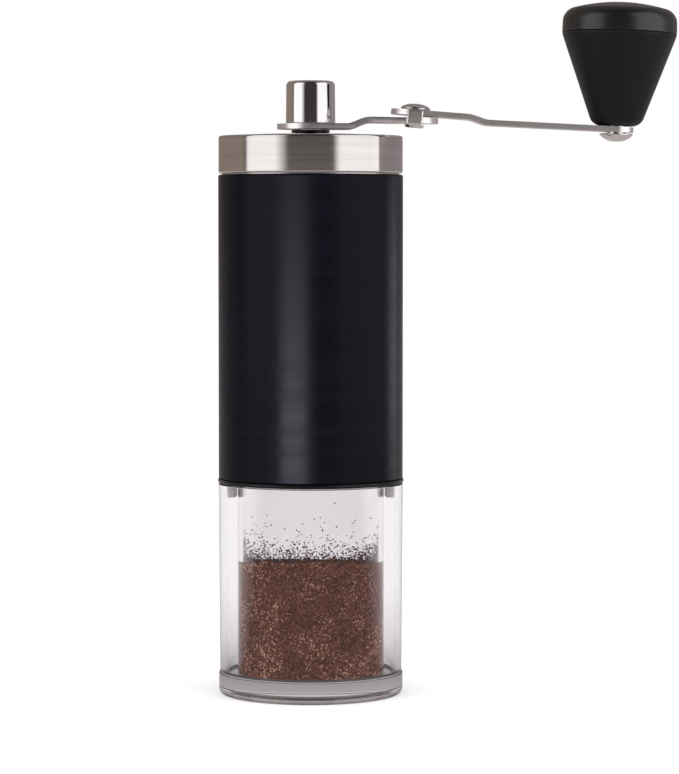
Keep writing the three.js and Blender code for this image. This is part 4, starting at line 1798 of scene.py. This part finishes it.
@dataclass
class Studio:
    """The camera, the floor, the soft lights and the white surround.

    Attributes:
        distance: from the grinder's axis to the camera.
        eye_height: the camera's height.
        aim_x: how far to the crank's side the camera stands.
        tilt: how far it looks down, in degrees.
        lens: focal length in millimetres on a 36 mm frame.
        floor_size: length of the floor's sides.
        bounce: how much brighter than white the surround is for light that matt surfaces scatter.
    """

    distance: float = 0.83
    eye_height: float = 0.124
    aim_x: float = 0.0075
    tilt: float = 3.036
    lens: float = 148.3
    floor_size: float = 8.0
    bounce: float = 1.14

    def build(self) -> None:
        """Sets up everything that isn't the grinder."""
        self.camera()
        self.floor()
        self.surround()
        for box in MAIN_BOXES:
            box.build()
        bpy.context.scene.view_settings.view_transform = "Standard"

    def sleeve_strips(self, sleeve: bpy.types.Object) -> None:
        """Low strips, one in front and one behind, that light only the sleeve.

        Args:
            sleeve: the coated sleeve.
        """
        lit = bpy.data.collections.new("lit_by_strips")
        lit.objects.link(sleeve)
        for strip in SLEEVE_STRIPS:
            light = strip.build()
            light.data.color = STRIP_BLUE
            light.light_linking.receiver_collection = lit

    def camera(self) -> None:
        """A long lens, level with the upper part of the grinder."""
        lens = bpy.data.cameras.new("camera")
        lens.lens = self.lens
        lens.sensor_width = 36.0
        lens.clip_start = 0.01
        view = bpy.data.objects.new("camera", lens)
        view.location = (self.aim_x, -self.distance, self.eye_height)
        view.rotation_euler = (math.radians(90 - self.tilt), 0, 0)
        bpy.context.scene.collection.objects.link(view)
        bpy.context.scene.camera = view

    def floor(self) -> None:
        """A plain white floor that glows with painted shade for clear and shiny pieces: through
        clear pieces a painted shadow, dark in front of and under the jar and white further
        behind, and in shiny pieces a painted dim reflection.
        """
        deselect_all()
        bpy.ops.mesh.primitive_plane_add(size=self.floor_size, location=(0, 0, -0.02 * MM))
        ground = fresh("floor")
        material, wire, shader = principled("floor_white_painted_shade")
        white = opaque((0.93, 0.93, 0.93))
        wire.feed(shader, Base_Color=white, Roughness=0.9, Specular_IOR_Level=0.0)
        path = wire.add("LightPath")
        back = wire.add("SeparateXYZ", Vector=wire.place()).outputs["Y"]
        # Painted shadow: the floor seen through the jar is dark in front of and under it, rising
        # to white behind.
        through = wire.ramp(
            wire.math("ADD", wire.math("MULTIPLY", back, 2.0), 0.3),  # Y from -0.15 to 0.35
            (0.15, (0.06, 0.055, 0.055)),
            (0.35, (0.09, 0.08, 0.08)),
            (0.375, (0.44, 0.42, 0.44)),
            (0.5, (0.8, 0.79, 0.8)),
            (0.7, (1.0, 1.0, 1.0)),
        )
        # Painted reflection: shiny pieces see the floor as a dim beige instead of white.
        shade = wire.mix(path.outputs["Is Transmission Ray"], (0.52, 0.47, 0.45), through)
        # The floor glows with this painted shade for rays that were only reflected or refracted.
        dim = wire.add("Emission", Color=shade)
        wire.surface(undiffused(wire, path), shader, dim)
        ground.data.materials.append(material)

    def surround(self) -> None:
        """White behind and through clear things, and a dim room in reflections."""
        world = bpy.data.worlds.new("surround")
        world.use_nodes = True
        bpy.context.scene.world = world
        wire = Wiring(world.node_tree)
        path = wire.add("LightPath")
        through = path.outputs["Is Transmission Ray"]
        direction = wire.add("SeparateXYZ", Vector=wire.add("TexCoord").outputs["Generated"])
        depth = wire.add("MapRange", Value=direction.outputs["Y"], in_1=-0.1, in_2=0.1)
        side = wire.add("MapRange", Value=direction.outputs["X"], in_1=-0.5, in_2=0.5)
        above = wire.ramp(
            wire.math("ADD", direction.outputs["Z"], 0.5),  # 0.5 is the horizon
            (0.48, (1.0, 1.0, 1.0)),
            (0.55, (0.72, 0.69, 0.72)),
            (0.62, (0.5, 0.47, 0.49)),
            (0.7, (0.1, 0.085, 0.09)),
        )
        behind = wire.mix(side.outputs[0], (0.27, 0.22, 0.185), (0.3, 0.26, 0.27))
        past = wire.mix(through, behind, above)
        ahead = wire.mix(through, (0.045, 0.037, 0.039), (0.06, 0.055, 0.055))
        room = wire.mix(depth.outputs[0], ahead, past)
        lit = wire.mix(diffused(wire, path), (1.0, 1.0, 1.0), (self.bounce,) * 3)
        seen = wire.mix(undiffused(wire, path), lit, room)
        wire.feed(world.node_tree.nodes["Background"], Color=seen)


def main() -> None:
    """Builds the studio and the grinder, piece by piece."""
    logging.basicConfig(level=logging.INFO, format="%(name)s %(message)s")
    studio = Studio()
    studio.build()
    Jar().build()
    studio.sleeve_strips(Barrel().build())
    for assembly in (Lid(), Crank(), Knob(), Mill()):
        assembly.build()


if __name__ == "__main__":
    main()
